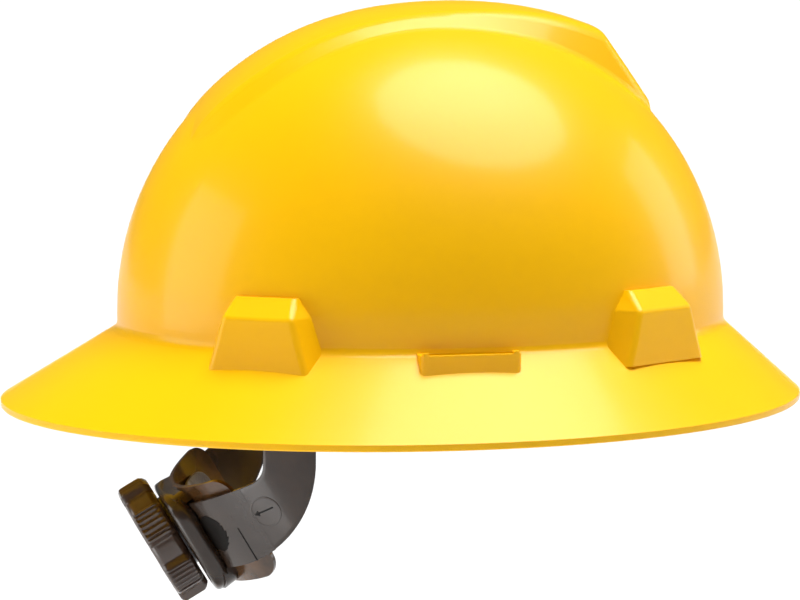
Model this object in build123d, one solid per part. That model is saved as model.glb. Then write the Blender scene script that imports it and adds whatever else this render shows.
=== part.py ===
from build123d import *
from math import acos, atan2, cos, degrees, hypot, pi, radians, sin, sqrt, tan
import os

# Full brim hard hat with a four point harness and a ratchet nape strap, in millimetres.
# +X is forward, +Y is the wearer's left, +Z is up. The origin is where the hat sits on a
# head: the centre of the headband, in the plane of its lower edge.

# Shell: dome
DOME_HALF_LENGTH = 120.9
DOME_HALF_WIDTH = 103.0
DOME_CENTRE_X = 1.1
DOME_BASE_Z = 21.0
DOME_RISE = 118.5
DOME_POWER = 2.02
SHELL_WALL = 2.4

# Shell: crest, the raised panel over the crown, with steep flanks and a steep front face
CREST_HALF_LENGTH = 127.0
CREST_RISE = 121.8
CREST_POWER = 2.2
CREST_CENTRE_X = 12.0
CREST_CROWN_RADIUS = 103.0
CREST_BROW_X = 70.0
CREST_BROW_Z = 132.0
CREST_NOSE_X = 88.8
CREST_NOSE_Z = 104.0
CREST_SHOULDER_FILLET = 9.0
CREST_BROW_FILLET = 7.0
CREST_FOOT_FILLET = 7.0

# Shell: brim
BRIM_HALF_LENGTH = 159.0
BRIM_HALF_WIDTH = 139.0
BRIM_CENTRE_X = -6.8
BRIM_ROOT_Z = 16.0
RIM_Z = -14.0
RIM_LIP = 2.6
BRIM_DROP_WALL = 3.0
BRIM_ROOT_FILLET = 4.0
RIM_FILLET = 0.8

# Shell: the four suspension pockets
POCKET_X = 72.5
POCKET_ROOT_WIDTH = 40.0
POCKET_FACE_WIDTH = 28.0
POCKET_TOP_WIDTH = 25.0
POCKET_SPLAY = 3.0
POCKET_DEPTH = 9.0
POCKET_TOP_DEPTH = 8.5
POCKET_BOTTOM_Z = 9.0
POCKET_FACE_Z = 29.0
POCKET_TOP_Z = 36.0
POCKET_FILLET = 2.5

# Shell: the two accessory slots at the sides
ACCESSORY_X = -1.6
ACCESSORY_LENGTH = 37.5
ACCESSORY_GAP = 5.4
ACCESSORY_WALL = 2.2
ACCESSORY_TOP_Z = 16.4
ACCESSORY_NIB = 2.0

# Headband
BAND_END_GAP = 21.1
BAND_SIDE_GAP = 22.2
BAND_WALL = 1.8
BAND_OUTER_LENGTH = DOME_HALF_LENGTH - BAND_END_GAP
BAND_OUTER_WIDTH = DOME_HALF_WIDTH - BAND_SIDE_GAP
BAND_HALF_LENGTH = BAND_OUTER_LENGTH - BAND_WALL
BAND_HALF_WIDTH = BAND_OUTER_WIDTH - BAND_WALL
BAND_HEIGHT = 30.0
BAND_REAR_X = -74.0
BROW_PAD_WALL = 3.5
BROW_PAD_REAR_X = 46.0
BROW_PAD_HEIGHT = 36.0
SEAT_GAP = 0.3

# Crown straps
STRAP_WIDTH = 19.0
STRAP_WALL = 1.2
STRAP_TOP_Z = 90.0
STRAP_FOOT_Z = 16.5
STRAP_FOOT_INSET = 8.0
STRAP_FOLD_WALL = 3.6
STRAP_FOLD_HEIGHT = 4.0
STRAP_LAP = 1.2

# Suspension keys
KEY_WALL = 4.0
KEY_BLADE_WIDTH = 21.0
KEY_BLADE_BOTTOM_Z = 12.0
KEY_FOOT_WIDTH = 26.0
KEY_FOOT_Z = 22.0
KEY_FOOT_WALL = 3.4
KEY_FOOT_REACH = 14.5
KEY_TONGUE_WIDTH = 12.0
KEY_TONGUE_WALL = 2.0
KEY_PAD_TOP_Z = 29.0
KEY_STUD_RADIUS = 2.2
STUD_HEAD_RADIUS = 4.0
STUD_HEAD_WALL = 1.2
STUD_SINK = 0.1

# Nape strap: a U of strap on a cylinder whose axis leans forward as it goes down
NAPE_TILT = 30.0
NAPE_CENTRE_U = 49.5
NAPE_INNER_RADIUS = 58.7
PLATE_WALL = 1.8
LAYER_GAP = 0.4
RACK_WALL = 1.4
RACK_GAP = 0.3
COVER_WALL = 2.0
PLATE_HALF_ANGLE = 46.0
PLATE_TOP_W = -10.0
PLATE_BOTTOM_W = 33.5
PLATE_CORNER = 8.0
STRAP_UPPER_W = -4.5
STRAP_LOWER_W = 25.0
WIDE_STRAP_ANGLE = 24.0
ARM_SPLIT_ANGLE = 52.0
NAPE_PAD_WALL = 3.0
NAPE_PAD_HALF_ANGLE = 36.0
NAPE_PAD_MARGIN = 6.0

# Ratchet
KNOB_W = 7.6
KNOB_RADIUS = 25.8
KNOB_WALL = 8.9
KNOB_FACE_GAP = 5.0
KNOB_LOBES = 8
KNOB_BACK_CHAMFER = 3.2
KNOB_FACE_FILLET = 1.2
KNOB_SOCKET = 5.0
KNOB_RIBS = 5
KNOB_RIB_DEPTH = 1.0
KNOB_RIB_PITCH = 3.2
MODULE = 1.2
PINION_TEETH = 10
PRESSURE_ANGLE = 22.0
ADDENDUM = 0.82
DEDENDUM = 1.2
PINION_FLANK_STEPS = 3
BACKLASH = 0.5
RACK_TOP_TRAVEL = 27.0
RACK_LOW_TRAVEL = 13.0
RACK_TIP = 3.0
RACK_RAIL = 4.0
AXLE_RADIUS = 3.0
RUNNING_GAP = 0.08
COVER_TOP_W = -9.0
COVER_BOTTOM_W = 33.0
COVER_HALF_ANGLE = 23.0
COVER_CORNER = 7.0
HUB_RADIUS = 15.0
HUB_WALL = 2.0
PAWL_RADIUS = 11.6
PAWL_WALL = 1.6
PAWL_NOSE_ANGLE = 70.0
RATCHET_TEETH = 24
RATCHET_TOOTH_DEPTH = 1.1
SCREW_RADIUS = 1.25
SCREW_HEAD_RADIUS = 4.4
SCREW_HEAD_WALL = 1.4

# Arms from the nape strap up to the headband
ARM_FRONT_X = -51.5
ARM_REAR_X = -70.9
ARM_BEND_RADIUS = 50.0
ARM_CROOK_RADIUS = 8.0
ARM_PAD_WALL = 2.0
ARM_PAD_LOW_Z = -1.0
ARM_PAD_TOP_Z = 19.0
ARM_PAD_X = -59.0
ARM_PAD_WIDTH = 19.0
ARM_JOIN_Z = -25.0

# One overrun for every cutting tool
OVER = 2.0


def nape_axis_point():
    """The point of the nape cylinder's axis that is level with the origin."""
    lean = radians(NAPE_TILT)
    return Vector(-cos(lean) * NAPE_CENTRE_U, 0, -sin(lean) * NAPE_CENTRE_U)


LEAN = radians(NAPE_TILT)
OUT = Vector(-cos(LEAN), 0, -sin(LEAN))
DOWN = Vector(sin(LEAN), 0, -cos(LEAN))
NAPE = Plane(origin=nape_axis_point(), x_dir=OUT, z_dir=DOWN)

PLATE_OUTER_RADIUS = NAPE_INNER_RADIUS + PLATE_WALL
INNER_RACK_RADIUS = PLATE_OUTER_RADIUS + LAYER_GAP
OUTER_RACK_RADIUS = INNER_RACK_RADIUS + RACK_WALL + RACK_GAP
COVER_INNER_RADIUS = OUTER_RACK_RADIUS + RACK_WALL + LAYER_GAP
COVER_OUTER_RADIUS = COVER_INNER_RADIUS + COVER_WALL
KNOB_FACE_RADIUS = COVER_OUTER_RADIUS + KNOB_FACE_GAP
PITCH_RADIUS = MODULE * PINION_TEETH / 2
TOOTH_PITCH = pi * MODULE


def box_between(low, high):
    """An axis aligned box from its low corner to its high corner."""
    size = [high[i] - low[i] for i in range(3)]
    middle = [(high[i] + low[i]) / 2 for i in range(3)]
    return Pos(*middle) * Box(*size)


def ellipse_prism(half_length, half_width, low_z, high_z, centre_x=0.0):
    """An upright elliptic cylinder."""
    base = Pos(centre_x, 0, low_z) * Ellipse(half_length, half_width)
    return extrude(base, high_z - low_z)


# Shell


DOME_LEVEL_SHARES = [0.0, 0.25, 0.5, 0.7, 0.85, 0.95]


def superellipse(share, power):
    """Height share at a radius share, or the other way round."""
    return max(0, 1 - abs(share) ** power) ** (1 / power)


def dome_solid(inset, low_z):
    """The plain dome, inset all over: ellipses that shrink upwards, on a straight foot."""
    half_length = DOME_HALF_LENGTH - inset
    half_width = DOME_HALF_WIDTH - inset
    rise = DOME_RISE - inset
    sections = []
    for level in DOME_LEVEL_SHARES:
        shrink = superellipse(level, DOME_POWER)
        ring = Ellipse(half_length * shrink, half_width * shrink)
        sections.append(Pos(DOME_CENTRE_X, 0, DOME_BASE_Z + rise * level) * ring)
    cap = loft(sections + [Vertex(DOME_CENTRE_X, 0, DOME_BASE_Z + rise)])
    return cap + ellipse_prism(half_length, half_width, low_z, DOME_BASE_Z, DOME_CENTRE_X)


def dome_z(x, y):
    """Height of the dome's outside."""
    reach = hypot((x - DOME_CENTRE_X) / DOME_HALF_LENGTH, y / DOME_HALF_WIDTH)
    return DOME_BASE_Z + DOME_RISE * superellipse(reach, DOME_POWER)


def crest_z(x):
    """Height of the crest's top along the middle."""
    reach = (x - CREST_CENTRE_X) / CREST_HALF_LENGTH
    return DOME_BASE_Z + CREST_RISE * superellipse(reach, CREST_POWER)


# Station along the dome's half length, half widths of top and foot, and how far it sinks
CREST_STATION_SHARES = [
    (-0.80, 0.20, 0.33, 0.06),
    (-0.70, 0.27, 0.40, 0.0),
    (-0.58, 0.30, 0.42, 0.0),
    (-0.44, 0.305, 0.42, 0.0),
    (-0.20, 0.295, 0.395, 0.0),
    (0.07, 0.28, 0.365, 0.0),
    (0.30, 0.25, 0.325, 0.0),
    (0.50, 0.205, 0.285, 0.0),
    (0.66, 0.165, 0.25, 0.0),
    (0.80, 0.13, 0.225, 0.0),
]
CREST_BURY_SHARE = 0.25


def crest_section(station, inset):
    """Crowned trapezoid across the crest at one station, its flanks carried on into the dome."""
    x_share, top_share, foot_share, sink_share = station
    x = x_share * DOME_HALF_LENGTH
    top_y = top_share * DOME_HALF_WIDTH
    foot_y = foot_share * DOME_HALF_WIDTH
    top_z = crest_z(x) - sink_share * CREST_RISE
    shoulder_z = top_z - top_y**2 / (2 * CREST_CROWN_RADIUS)
    foot_z = dome_z(x, foot_y)
    low_y = foot_y + CREST_BURY_SHARE * (foot_y - top_y) / 2 - inset
    low_z = foot_z - CREST_BURY_SHARE * max(shoulder_z - foot_z, foot_y - top_y) - inset
    top_y = top_y - inset / 2
    shoulder_z = shoulder_z - inset
    crown = ThreePointArc((x, top_y, shoulder_z), (x, 0, top_z - inset), (x, -top_y, shoulder_z))
    rest = Polyline(crown @ 1, (x, -low_y, low_z), (x, low_y, low_z), crown @ 0)
    return make_face([crown, rest])


def crest_face(inset):
    """Side outline that ends at the crest's steep front face."""
    run = CREST_NOSE_X - CREST_BROW_X
    fall = CREST_BROW_Z - CREST_NOSE_Z
    setback = inset * hypot(run, fall) / fall
    above = CREST_RISE
    outline = Polygon(
        (CREST_NOSE_X - setback, CREST_NOSE_Z),
        (CREST_NOSE_X - setback - run * above / fall, CREST_NOSE_Z + above),
        (-2 * DOME_HALF_LENGTH, CREST_NOSE_Z + above),
        (-2 * DOME_HALF_LENGTH, DOME_BASE_Z),
        (CREST_NOSE_X - setback, DOME_BASE_Z),
        align=None,
    )
    return Plane.XZ * outline


def crest_solid(inset):
    """The raised panel: lofted along the crown and cut by the steep front face."""
    body = loft([crest_section(station, inset) for station in CREST_STATION_SHARES])
    return body & extrude(crest_face(inset), DOME_HALF_WIDTH, both=True)


def crest_rounded():
    """The crest's outside with soft shoulders and a soft brow."""
    body = crest_solid(0)
    shoulders = [edge for edge in body.edges() if edge.length > DOME_HALF_LENGTH]
    body = fillet(sorted(shoulders, key=lambda edge: edge.center().Z)[-2:], CREST_SHOULDER_FILLET)
    slope = Vector(CREST_BROW_Z - CREST_NOSE_Z, 0, CREST_NOSE_X - CREST_BROW_X).normalized()
    nose = Vector(CREST_NOSE_X, 0, CREST_NOSE_Z)
    brow = []
    for edge in body.edges().filter_by(lambda edge: edge.length > OVER):
        off_face = max(abs((edge @ share - nose).dot(slope)) for share in (0, 0.5, 1))
        if off_face < RUNNING_GAP and (edge @ 0.5).Z > CREST_NOSE_Z + RUNNING_GAP:
            brow.append(edge)
    return fillet(brow, CREST_BROW_FILLET)


def brim_frustum(drop):
    """The brim as a solid skirt from the dome's foot to the lip, lowered by drop."""
    root = Pos(DOME_CENTRE_X, 0, BRIM_ROOT_Z - drop) * Ellipse(DOME_HALF_LENGTH, DOME_HALF_WIDTH)
    rim = Pos(BRIM_CENTRE_X, 0, RIM_Z + RIM_LIP - drop) * Ellipse(BRIM_HALF_LENGTH, BRIM_HALF_WIDTH)
    return loft([root, rim])


def pocket_planes():
    """Frames of the four pockets: x outward, y along the dome, z up, on the dome's foot line."""
    planes = {}
    for end, end_sign in (("front", 1), ("rear", -1)):
        for side, side_sign in (("left", 1), ("right", -1)):
            x = end_sign * POCKET_X - DOME_CENTRE_X
            y = side_sign * DOME_HALF_WIDTH * sqrt(1 - (x / DOME_HALF_LENGTH) ** 2)
            outward = Vector(x / DOME_HALF_LENGTH**2, y / DOME_HALF_WIDTH**2, 0)
            origin = (x + DOME_CENTRE_X, y, 0)
            planes[f"{end}_{side}"] = Plane(origin=origin, x_dir=outward, z_dir=(0, 0, 1))
    return planes


POCKETS = pocket_planes()


def pocket_form(inset, reach_in):
    """A pocket's flared block: sloping top, splayed sides, inset all over for its hollow."""
    def section(z, width, depth, splay):
        half = width / 2 - inset
        outer = depth - inset
        root = half + splay * (outer + reach_in) / depth
        corners = [(-reach_in, -root), (outer, -half), (outer, half), (-reach_in, root)]
        return Pos(0, 0, z) * Polygon(*corners, align=None)

    low = section(POCKET_BOTTOM_Z, POCKET_ROOT_WIDTH, POCKET_DEPTH, POCKET_SPLAY)
    face_top = section(POCKET_FACE_Z - inset, POCKET_FACE_WIDTH, POCKET_TOP_DEPTH, POCKET_SPLAY)
    top = section(POCKET_TOP_Z - inset, POCKET_TOP_WIDTH, SHELL_WALL / 2, 0)
    return loft([low, face_top], ruled=True) + loft([face_top, top], ruled=True)


def accessory_block(side):
    """The thin upright wall of a side slot, with a nib at each end of its top edge."""
    half = ACCESSORY_LENGTH / 2
    inner = DOME_HALF_WIDTH - SHELL_WALL
    outer = DOME_HALF_WIDTH + SEAT_GAP + ACCESSORY_GAP + ACCESSORY_WALL
    low_z = BRIM_ROOT_Z - BRIM_DROP_WALL - ACCESSORY_GAP
    low = (ACCESSORY_X - half, inner, low_z)
    high = (ACCESSORY_X + half, outer, ACCESSORY_TOP_Z)
    block = box_between(low, high)
    block = fillet(block.edges().filter_by(Axis.Z).group_by(Axis.Y)[-1], ACCESSORY_WALL)
    for end in (-1, 1):
        x = ACCESSORY_X + end * (half - ACCESSORY_NIB)
        nib = box_between(
            (x - ACCESSORY_NIB / 2, outer - ACCESSORY_WALL, ACCESSORY_TOP_Z - ACCESSORY_NIB),
            (x + ACCESSORY_NIB / 2, outer, ACCESSORY_TOP_Z + ACCESSORY_NIB / 2),
        )
        block = block + nib
    return block if side > 0 else mirror(block, Plane.XZ)


def accessory_slot(side):
    """The slot itself, open above and below."""
    half = ACCESSORY_LENGTH / 2 - ACCESSORY_WALL
    inner = DOME_HALF_WIDTH + SEAT_GAP
    low = (ACCESSORY_X - half, inner, RIM_Z)
    high = (ACCESSORY_X + half, inner + ACCESSORY_GAP, ACCESSORY_TOP_Z + OVER)
    slot = box_between(low, high)
    return slot if side > 0 else mirror(slot, Plane.XZ)


def is_crest_foot(edge):
    """Whether an edge is one of the two long creases where the crest's flanks meet the dome."""
    middle = edge @ 0.5 if edge.length > DOME_HALF_LENGTH else Vector(0, 0, 0)
    return middle.Z > CREST_NOSE_Z and abs(middle.Z - dome_z(middle.X, middle.Y)) < SHELL_WALL / 2


def pocket_rounded():
    """A pocket's outside with its front and top corners rounded."""
    body = pocket_form(0, SHELL_WALL)
    corners = body.edges().filter_by(lambda edge: edge.center().X > SHELL_WALL)
    corners = corners.filter_by(lambda edge: edge.center().Z > POCKET_BOTTOM_Z + OVER)
    return fillet(corners, POCKET_FILLET)


def shell():
    """One moulding: dome, crest, brim, four pockets and two accessory slots."""
    outside = dome_solid(0, BRIM_ROOT_Z - BRIM_DROP_WALL) + crest_rounded()
    crest_feet = outside.edges().filter_by(is_crest_foot)
    outside = fillet(crest_feet, CREST_FOOT_FILLET)
    lip = ellipse_prism(BRIM_HALF_LENGTH, BRIM_HALF_WIDTH, RIM_Z, RIM_Z + RIM_LIP, BRIM_CENTRE_X)
    lip = fillet(lip.edges().group_by(Axis.Z)[0], RIM_FILLET)
    outside = outside + brim_frustum(0) + lip
    roots = outside.edges().filter_by(lambda edge: abs(edge.center().Z - BRIM_ROOT_Z) < RUNNING_GAP)
    outside = fillet(roots, BRIM_ROOT_FILLET)
    for plane in POCKETS.values():
        outside = outside + plane.location * pocket_rounded()
    for side in (-1, 1):
        outside = outside + accessory_block(side)
    hollow = dome_solid(SHELL_WALL, RIM_Z - OVER) + crest_solid(SHELL_WALL)
    body = outside - hollow - brim_frustum(BRIM_DROP_WALL)
    for plane in POCKETS.values():
        body = body - plane.location * pocket_form(SHELL_WALL, 2 * SHELL_WALL)
        mouth = pocket_form(SHELL_WALL, 2 * SHELL_WALL).faces().sort_by(Axis.Z)[0]
        body = body - plane.location * extrude(mouth, BRIM_ROOT_Z)
    for side in (-1, 1):
        body = body - accessory_slot(side)
    return body


# Headband and harness


OVAL_ARCS = 20


def oval_prism(half_length, half_width, low_z, high_z):
    """An upright oval: the ellipse of these half sizes, drawn with short arcs."""
    spots = []
    for i in range(2 * OVAL_ARCS):
        turn = pi * i / OVAL_ARCS
        spots.append((half_length * cos(turn), half_width * sin(turn), low_z))
    arcs = []
    for i in range(0, 2 * OVAL_ARCS, 2):
        arcs.append(ThreePointArc(spots[i], spots[i + 1], spots[(i + 2) % (2 * OVAL_ARCS)]))
    return extrude(make_face(arcs), high_z - low_z)


def headband():
    """A band open at the nape, with holes for the key studs and the arm studs."""
    outer = oval_prism(BAND_OUTER_LENGTH, BAND_OUTER_WIDTH, 0, BAND_HEIGHT)
    inner = oval_prism(BAND_HALF_LENGTH, BAND_HALF_WIDTH, -OVER, BAND_HEIGHT + OVER)
    rear = box_between(
        (-2 * BAND_HALF_LENGTH, -2 * BAND_HALF_WIDTH, -OVER),
        (BAND_REAR_X, 2 * BAND_HALF_WIDTH, BAND_HEIGHT + OVER),
    )
    band = outer - inner - rear
    for plane in KEY_SEATS.values():
        band = band - plane.location * stud_hole(KEY_STUD_Z)
    for plane in ARM_SEATS.values():
        band = band - plane.location * stud_hole(ARM_STUD_Z)
    return band


def stud_hole(z):
    """A hole through the headband, in a seat frame whose x axis points outward."""
    drill = Cylinder(KEY_STUD_RADIUS + RUNNING_GAP, 2 * KEY_FOOT_REACH)
    return Pos(0, 0, z) * Rot(0, 90, 0) * drill


KEY_STUD_Z = (KEY_FOOT_Z + KEY_PAD_TOP_Z) / 2
ARM_STUD_Z = (ARM_PAD_LOW_Z + ARM_PAD_TOP_Z) / 2


def key_reach(name):
    """Distance from the dome's foot line, straight in, to the headband's outer face."""
    plane = POCKETS[name]
    x, y = plane.origin.X, plane.origin.Y
    dx, dy = plane.x_dir.X, plane.x_dir.Y
    a = (dx / BAND_OUTER_LENGTH) ** 2 + (dy / BAND_OUTER_WIDTH) ** 2
    b = -2 * (x * dx / BAND_OUTER_LENGTH**2 + y * dy / BAND_OUTER_WIDTH**2)
    c = (x / BAND_OUTER_LENGTH) ** 2 + (y / BAND_OUTER_WIDTH) ** 2 - 1
    return (-b - sqrt(b * b - 4 * a * c)) / (2 * a)


def band_seat(x, side):
    """Frame on the headband's outer face: x outward, z up."""
    y = side * BAND_OUTER_WIDTH * sqrt(1 - (x / BAND_OUTER_LENGTH) ** 2)
    outward = Vector(x / BAND_OUTER_LENGTH**2, y / BAND_OUTER_WIDTH**2, 0)
    return Plane(origin=(x, y, 0), x_dir=outward, z_dir=(0, 0, 1))


def key_seats():
    """Where each key's tongue meets the headband, in the pocket's own direction."""
    seats = {}
    for name, plane in POCKETS.items():
        origin = plane.origin - plane.x_dir * key_reach(name)
        seats[name] = Plane(origin=origin, x_dir=plane.x_dir, z_dir=(0, 0, 1))
    return seats


KEY_SEATS = key_seats()
ARM_SEATS = {"left": band_seat(ARM_PAD_X, 1), "right": band_seat(ARM_PAD_X, -1)}


def strap_radius():
    """Radius of the circle through both feet and the top of a crown strap."""
    corner = POCKETS["front_left"].origin
    foot = hypot(corner.X, corner.Y) - STRAP_FOOT_INSET
    rise = STRAP_TOP_Z - STRAP_FOOT_Z
    return (foot**2 + rise**2) / (2 * rise)


def strap_plan_angle(sign):
    """Direction of a crown strap in plan, from the front right or the front left pocket."""
    corner = POCKETS["front_left"].origin
    return sign * degrees(atan2(corner.Y, corner.X))


def strap_lift(sign):
    """The second strap lies over the first where they cross."""
    return 0 if sign > 0 else STRAP_WALL + STRAP_LAP


def crown_strap(sign):
    """One webbing strap from corner to corner, arched over the head, folded at both ends."""
    radius = strap_radius() + strap_lift(sign)
    centre_z = STRAP_TOP_Z - strap_radius()
    low = box_between(
        (-2 * radius, -STRAP_WIDTH, centre_z - 2 * radius),
        (2 * radius, STRAP_WIDTH, STRAP_FOOT_Z),
    )
    outer = Cylinder(radius + STRAP_WALL, STRAP_WIDTH)
    inner = Cylinder(radius, STRAP_WIDTH + OVER)
    arch = Pos(0, 0, centre_z) * Rot(90, 0, 0) * (outer - inner) - low
    for end in (-1, 1):
        foot = sqrt(radius**2 - (STRAP_FOOT_Z - centre_z) ** 2) + STRAP_WALL / 2
        fold = Box(STRAP_FOLD_WALL, STRAP_WIDTH, STRAP_FOLD_HEIGHT)
        arch = arch + Pos(end * foot, 0, STRAP_FOOT_Z + STRAP_FOLD_HEIGHT / 2) * fold
    return Rot(0, 0, strap_plan_angle(sign)) * arch


def key(name):
    """A moulded key: blade in the pocket, foot with the strap slot, tongue and stud."""
    reach = key_reach(name)
    roof_rise = (POCKET_TOP_Z - POCKET_FACE_Z) / (POCKET_TOP_DEPTH - SHELL_WALL / 2)
    room = POCKET_TOP_DEPTH - SHELL_WALL - KEY_WALL - SEAT_GAP
    blade_top = POCKET_FACE_Z - SHELL_WALL + room * roof_rise - 1.5 * SEAT_GAP
    blade = box_between(
        (SEAT_GAP, -KEY_BLADE_WIDTH / 2, KEY_BLADE_BOTTOM_Z),
        (SEAT_GAP + KEY_WALL, KEY_BLADE_WIDTH / 2, blade_top),
    )
    foot_top = KEY_FOOT_Z + KEY_FOOT_WALL
    foot = box_between(
        (-KEY_FOOT_REACH, -KEY_FOOT_WIDTH / 2, KEY_FOOT_Z),
        (-SHELL_WALL - SEAT_GAP, KEY_FOOT_WIDTH / 2, foot_top),
    )
    foot = fillet(foot.edges().filter_by(Axis.Z), KEY_TONGUE_WALL)
    neck = box_between(
        (-SHELL_WALL - SEAT_GAP - KEY_WALL, -KEY_BLADE_WIDTH / 2, KEY_FOOT_Z),
        (SEAT_GAP + KEY_WALL, KEY_BLADE_WIDTH / 2, foot_top),
    )
    tongue = box_between(
        (-reach + SEAT_GAP / 2, -KEY_TONGUE_WIDTH / 2, KEY_FOOT_Z),
        (-KEY_FOOT_REACH + KEY_WALL, KEY_TONGUE_WIDTH / 2, KEY_FOOT_Z + KEY_TONGUE_WALL),
    )
    pad = box_between(
        (-reach + SEAT_GAP / 2, -KEY_TONGUE_WIDTH / 2, KEY_FOOT_Z),
        (-reach + KEY_TONGUE_WALL, KEY_TONGUE_WIDTH / 2, KEY_PAD_TOP_Z),
    )
    stud_length = BAND_WALL + KEY_TONGUE_WALL
    stud_middle = -reach + (KEY_TONGUE_WALL - BAND_WALL) / 2
    stud = Pos(stud_middle, 0, KEY_STUD_Z) * Rot(0, 90, 0) * Cylinder(KEY_STUD_RADIUS, stud_length)
    body = blade + foot + neck + tongue + pad + stud
    return POCKETS[name].location * body - strap_slot(name)


def strap_slot(name):
    """The slot in a key's foot that a crown strap hangs through, with the strap's own size."""
    sign = 1 if name in ("front_left", "rear_right") else -1
    end = 1 if name.startswith("front") else -1
    middle_z = KEY_FOOT_Z + KEY_FOOT_WALL / 2
    centre_z = STRAP_TOP_Z - strap_radius()
    radius = strap_radius() + strap_lift(sign) + STRAP_WALL / 2
    reach = sqrt(radius**2 - (middle_z - centre_z) ** 2)
    hole = Box(3 * STRAP_WALL, STRAP_WIDTH + 2 * SEAT_GAP, 2 * KEY_FOOT_WALL)
    return Rot(0, 0, strap_plan_angle(sign)) * Pos(end * reach, 0, middle_z) * hole


def brow_pad():
    """Soft pad inside the front of the headband, standing a little above and below it."""
    outer_length = BAND_HALF_LENGTH - SEAT_GAP
    outer_width = BAND_HALF_WIDTH - SEAT_GAP
    low_z = (BAND_HEIGHT - BROW_PAD_HEIGHT) / 2
    high_z = low_z + BROW_PAD_HEIGHT
    inner_length = outer_length - BROW_PAD_WALL
    inner_width = outer_width - BROW_PAD_WALL
    outer = oval_prism(outer_length, outer_width, low_z, high_z)
    inner = oval_prism(inner_length, inner_width, low_z - OVER, high_z + OVER)
    behind = box_between(
        (-2 * BAND_HALF_LENGTH, -2 * BAND_HALF_WIDTH, low_z - OVER),
        (BROW_PAD_REAR_X, 2 * BAND_HALF_WIDTH, high_z + OVER),
    )
    pad = outer - inner - behind
    return fillet(pad.edges().group_by(Axis.X)[0].filter_by(Axis.Y), BROW_PAD_WALL / 3)


# Nape strap, in the nape frame: x outward at the nape, y to the left, z down the strap


def ring_sector(inner, outer, low_angle, high_angle, low_w, high_w):
    """Part of an upright ring between two angles, in the nape frame."""
    turn = high_angle - low_angle
    middle = (high_angle + low_angle) / 2
    ring = Cylinder(outer, high_w - low_w) - Cylinder(inner, high_w - low_w + OVER)
    reach = 2 * outer / cos(radians(turn / 4))
    a, b = radians(-turn / 2), radians(turn / 2)
    wedge = Polygon(
        (0, 0),
        (reach * cos(a), reach * sin(a)),
        (reach, 0),
        (reach * cos(b), reach * sin(b)),
        align=None,
    )
    sector = ring & extrude(wedge, high_w - low_w + OVER, both=True)
    return Pos(0, 0, (low_w + high_w) / 2) * Rot(0, 0, middle) * sector


def u_sheet(inner, outer):
    """The strap's whole sheet: a half ring at the nape with straight sides going forward."""
    height = 4 * BAND_HALF_WIDTH
    ring = Cylinder(outer, height) - Cylinder(inner, height + OVER)
    rear = Pos(outer / 2 + OVER / 2, 0, 0) * Box(outer + OVER, 3 * outer, height + OVER)
    sheet = ring & rear
    length = NAPE_CENTRE_U
    for side in (-1, 1):
        wall = Pos(-length / 2, side * (inner + outer) / 2, 0) * Box(length, outer - inner, height)
        sheet = sheet + wall
    return sheet


def side_point(u, w):
    """A point of the side view, u outward and w down along the nape frame's own directions."""
    return (u * OUT.X + w * DOWN.X, u * OUT.Z + w * DOWN.Z)


def strap_line_z(x, w):
    """Height in the side view where the upright at x meets the strap line at w."""
    return (w - x * DOWN.X) / DOWN.Z


def strap_outline():
    """Side outline of strap and arm: along the nape, then bent upright towards the headband."""
    far = NAPE_CENTRE_U + OUTER_RACK_RADIUS + 2 * OVER
    bend = (ARM_FRONT_X, strap_line_z(ARM_FRONT_X, STRAP_LOWER_W))
    crook = (ARM_REAR_X, strap_line_z(ARM_REAR_X, STRAP_UPPER_W))
    outline = Polygon(
        (ARM_FRONT_X, ARM_JOIN_Z),
        bend,
        side_point(far, STRAP_LOWER_W),
        side_point(far, STRAP_UPPER_W),
        crook,
        (ARM_REAR_X, ARM_JOIN_Z),
        align=None,
    )
    outline = fillet(corner_near(outline, bend), ARM_BEND_RADIUS)
    return fillet(corner_near(outline, crook), ARM_CROOK_RADIUS)


def corner_near(face, spot):
    return min(face.vertices(), key=lambda v: hypot(v.X - spot[0], v.Y - spot[1]))


def layer_radius(side):
    """The right strap runs in the outer layer, the left one in the inner layer."""
    return OUTER_RACK_RADIUS if side < 0 else INNER_RACK_RADIUS


def half_space(side):
    """Everything on one side of the middle, with a little over."""
    reach = 3 * COVER_OUTER_RADIUS
    half = box_between((-reach, 0, -reach), (reach, reach, reach))
    return half if side > 0 else mirror(half, Plane.XZ)


def strap_beyond(side, angle):
    """The wide strap and the lower arm of one side, from an angle off the middle up to the join."""
    inner = layer_radius(side)
    prism = extrude(Plane.XZ * strap_outline(), 2 * COVER_OUTER_RADIUS, both=True)
    sheet = NAPE.location * u_sheet(inner, inner + RACK_WALL)
    middle = NAPE.location * (Rot(0, 0, side * angle) * turning_block(side))
    return (sheet & prism & half_space(side)) - middle


def turning_block(side):
    """Block whose one face is the radial plane at angle zero, reaching back over the middle."""
    reach = 3 * COVER_OUTER_RADIUS
    block = box_between((0, -reach, -reach), (reach, 0, reach))
    return block if side > 0 else mirror(block, Plane.XZ)


def rack_tooth():
    """One rack tooth in the tangent plane, its tip towards +Z, drawn from below its root."""
    thick = (TOOTH_PITCH - BACKLASH) / 4
    slope = tan(radians(PRESSURE_ANGLE))
    tip = thick - ADDENDUM * slope
    root = thick + (DEDENDUM + SEAT_GAP) * slope
    low = -DEDENDUM - SEAT_GAP
    return Polygon((-root, low), (root, low), (tip, ADDENDUM), (-tip, ADDENDUM), align=None)


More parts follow.
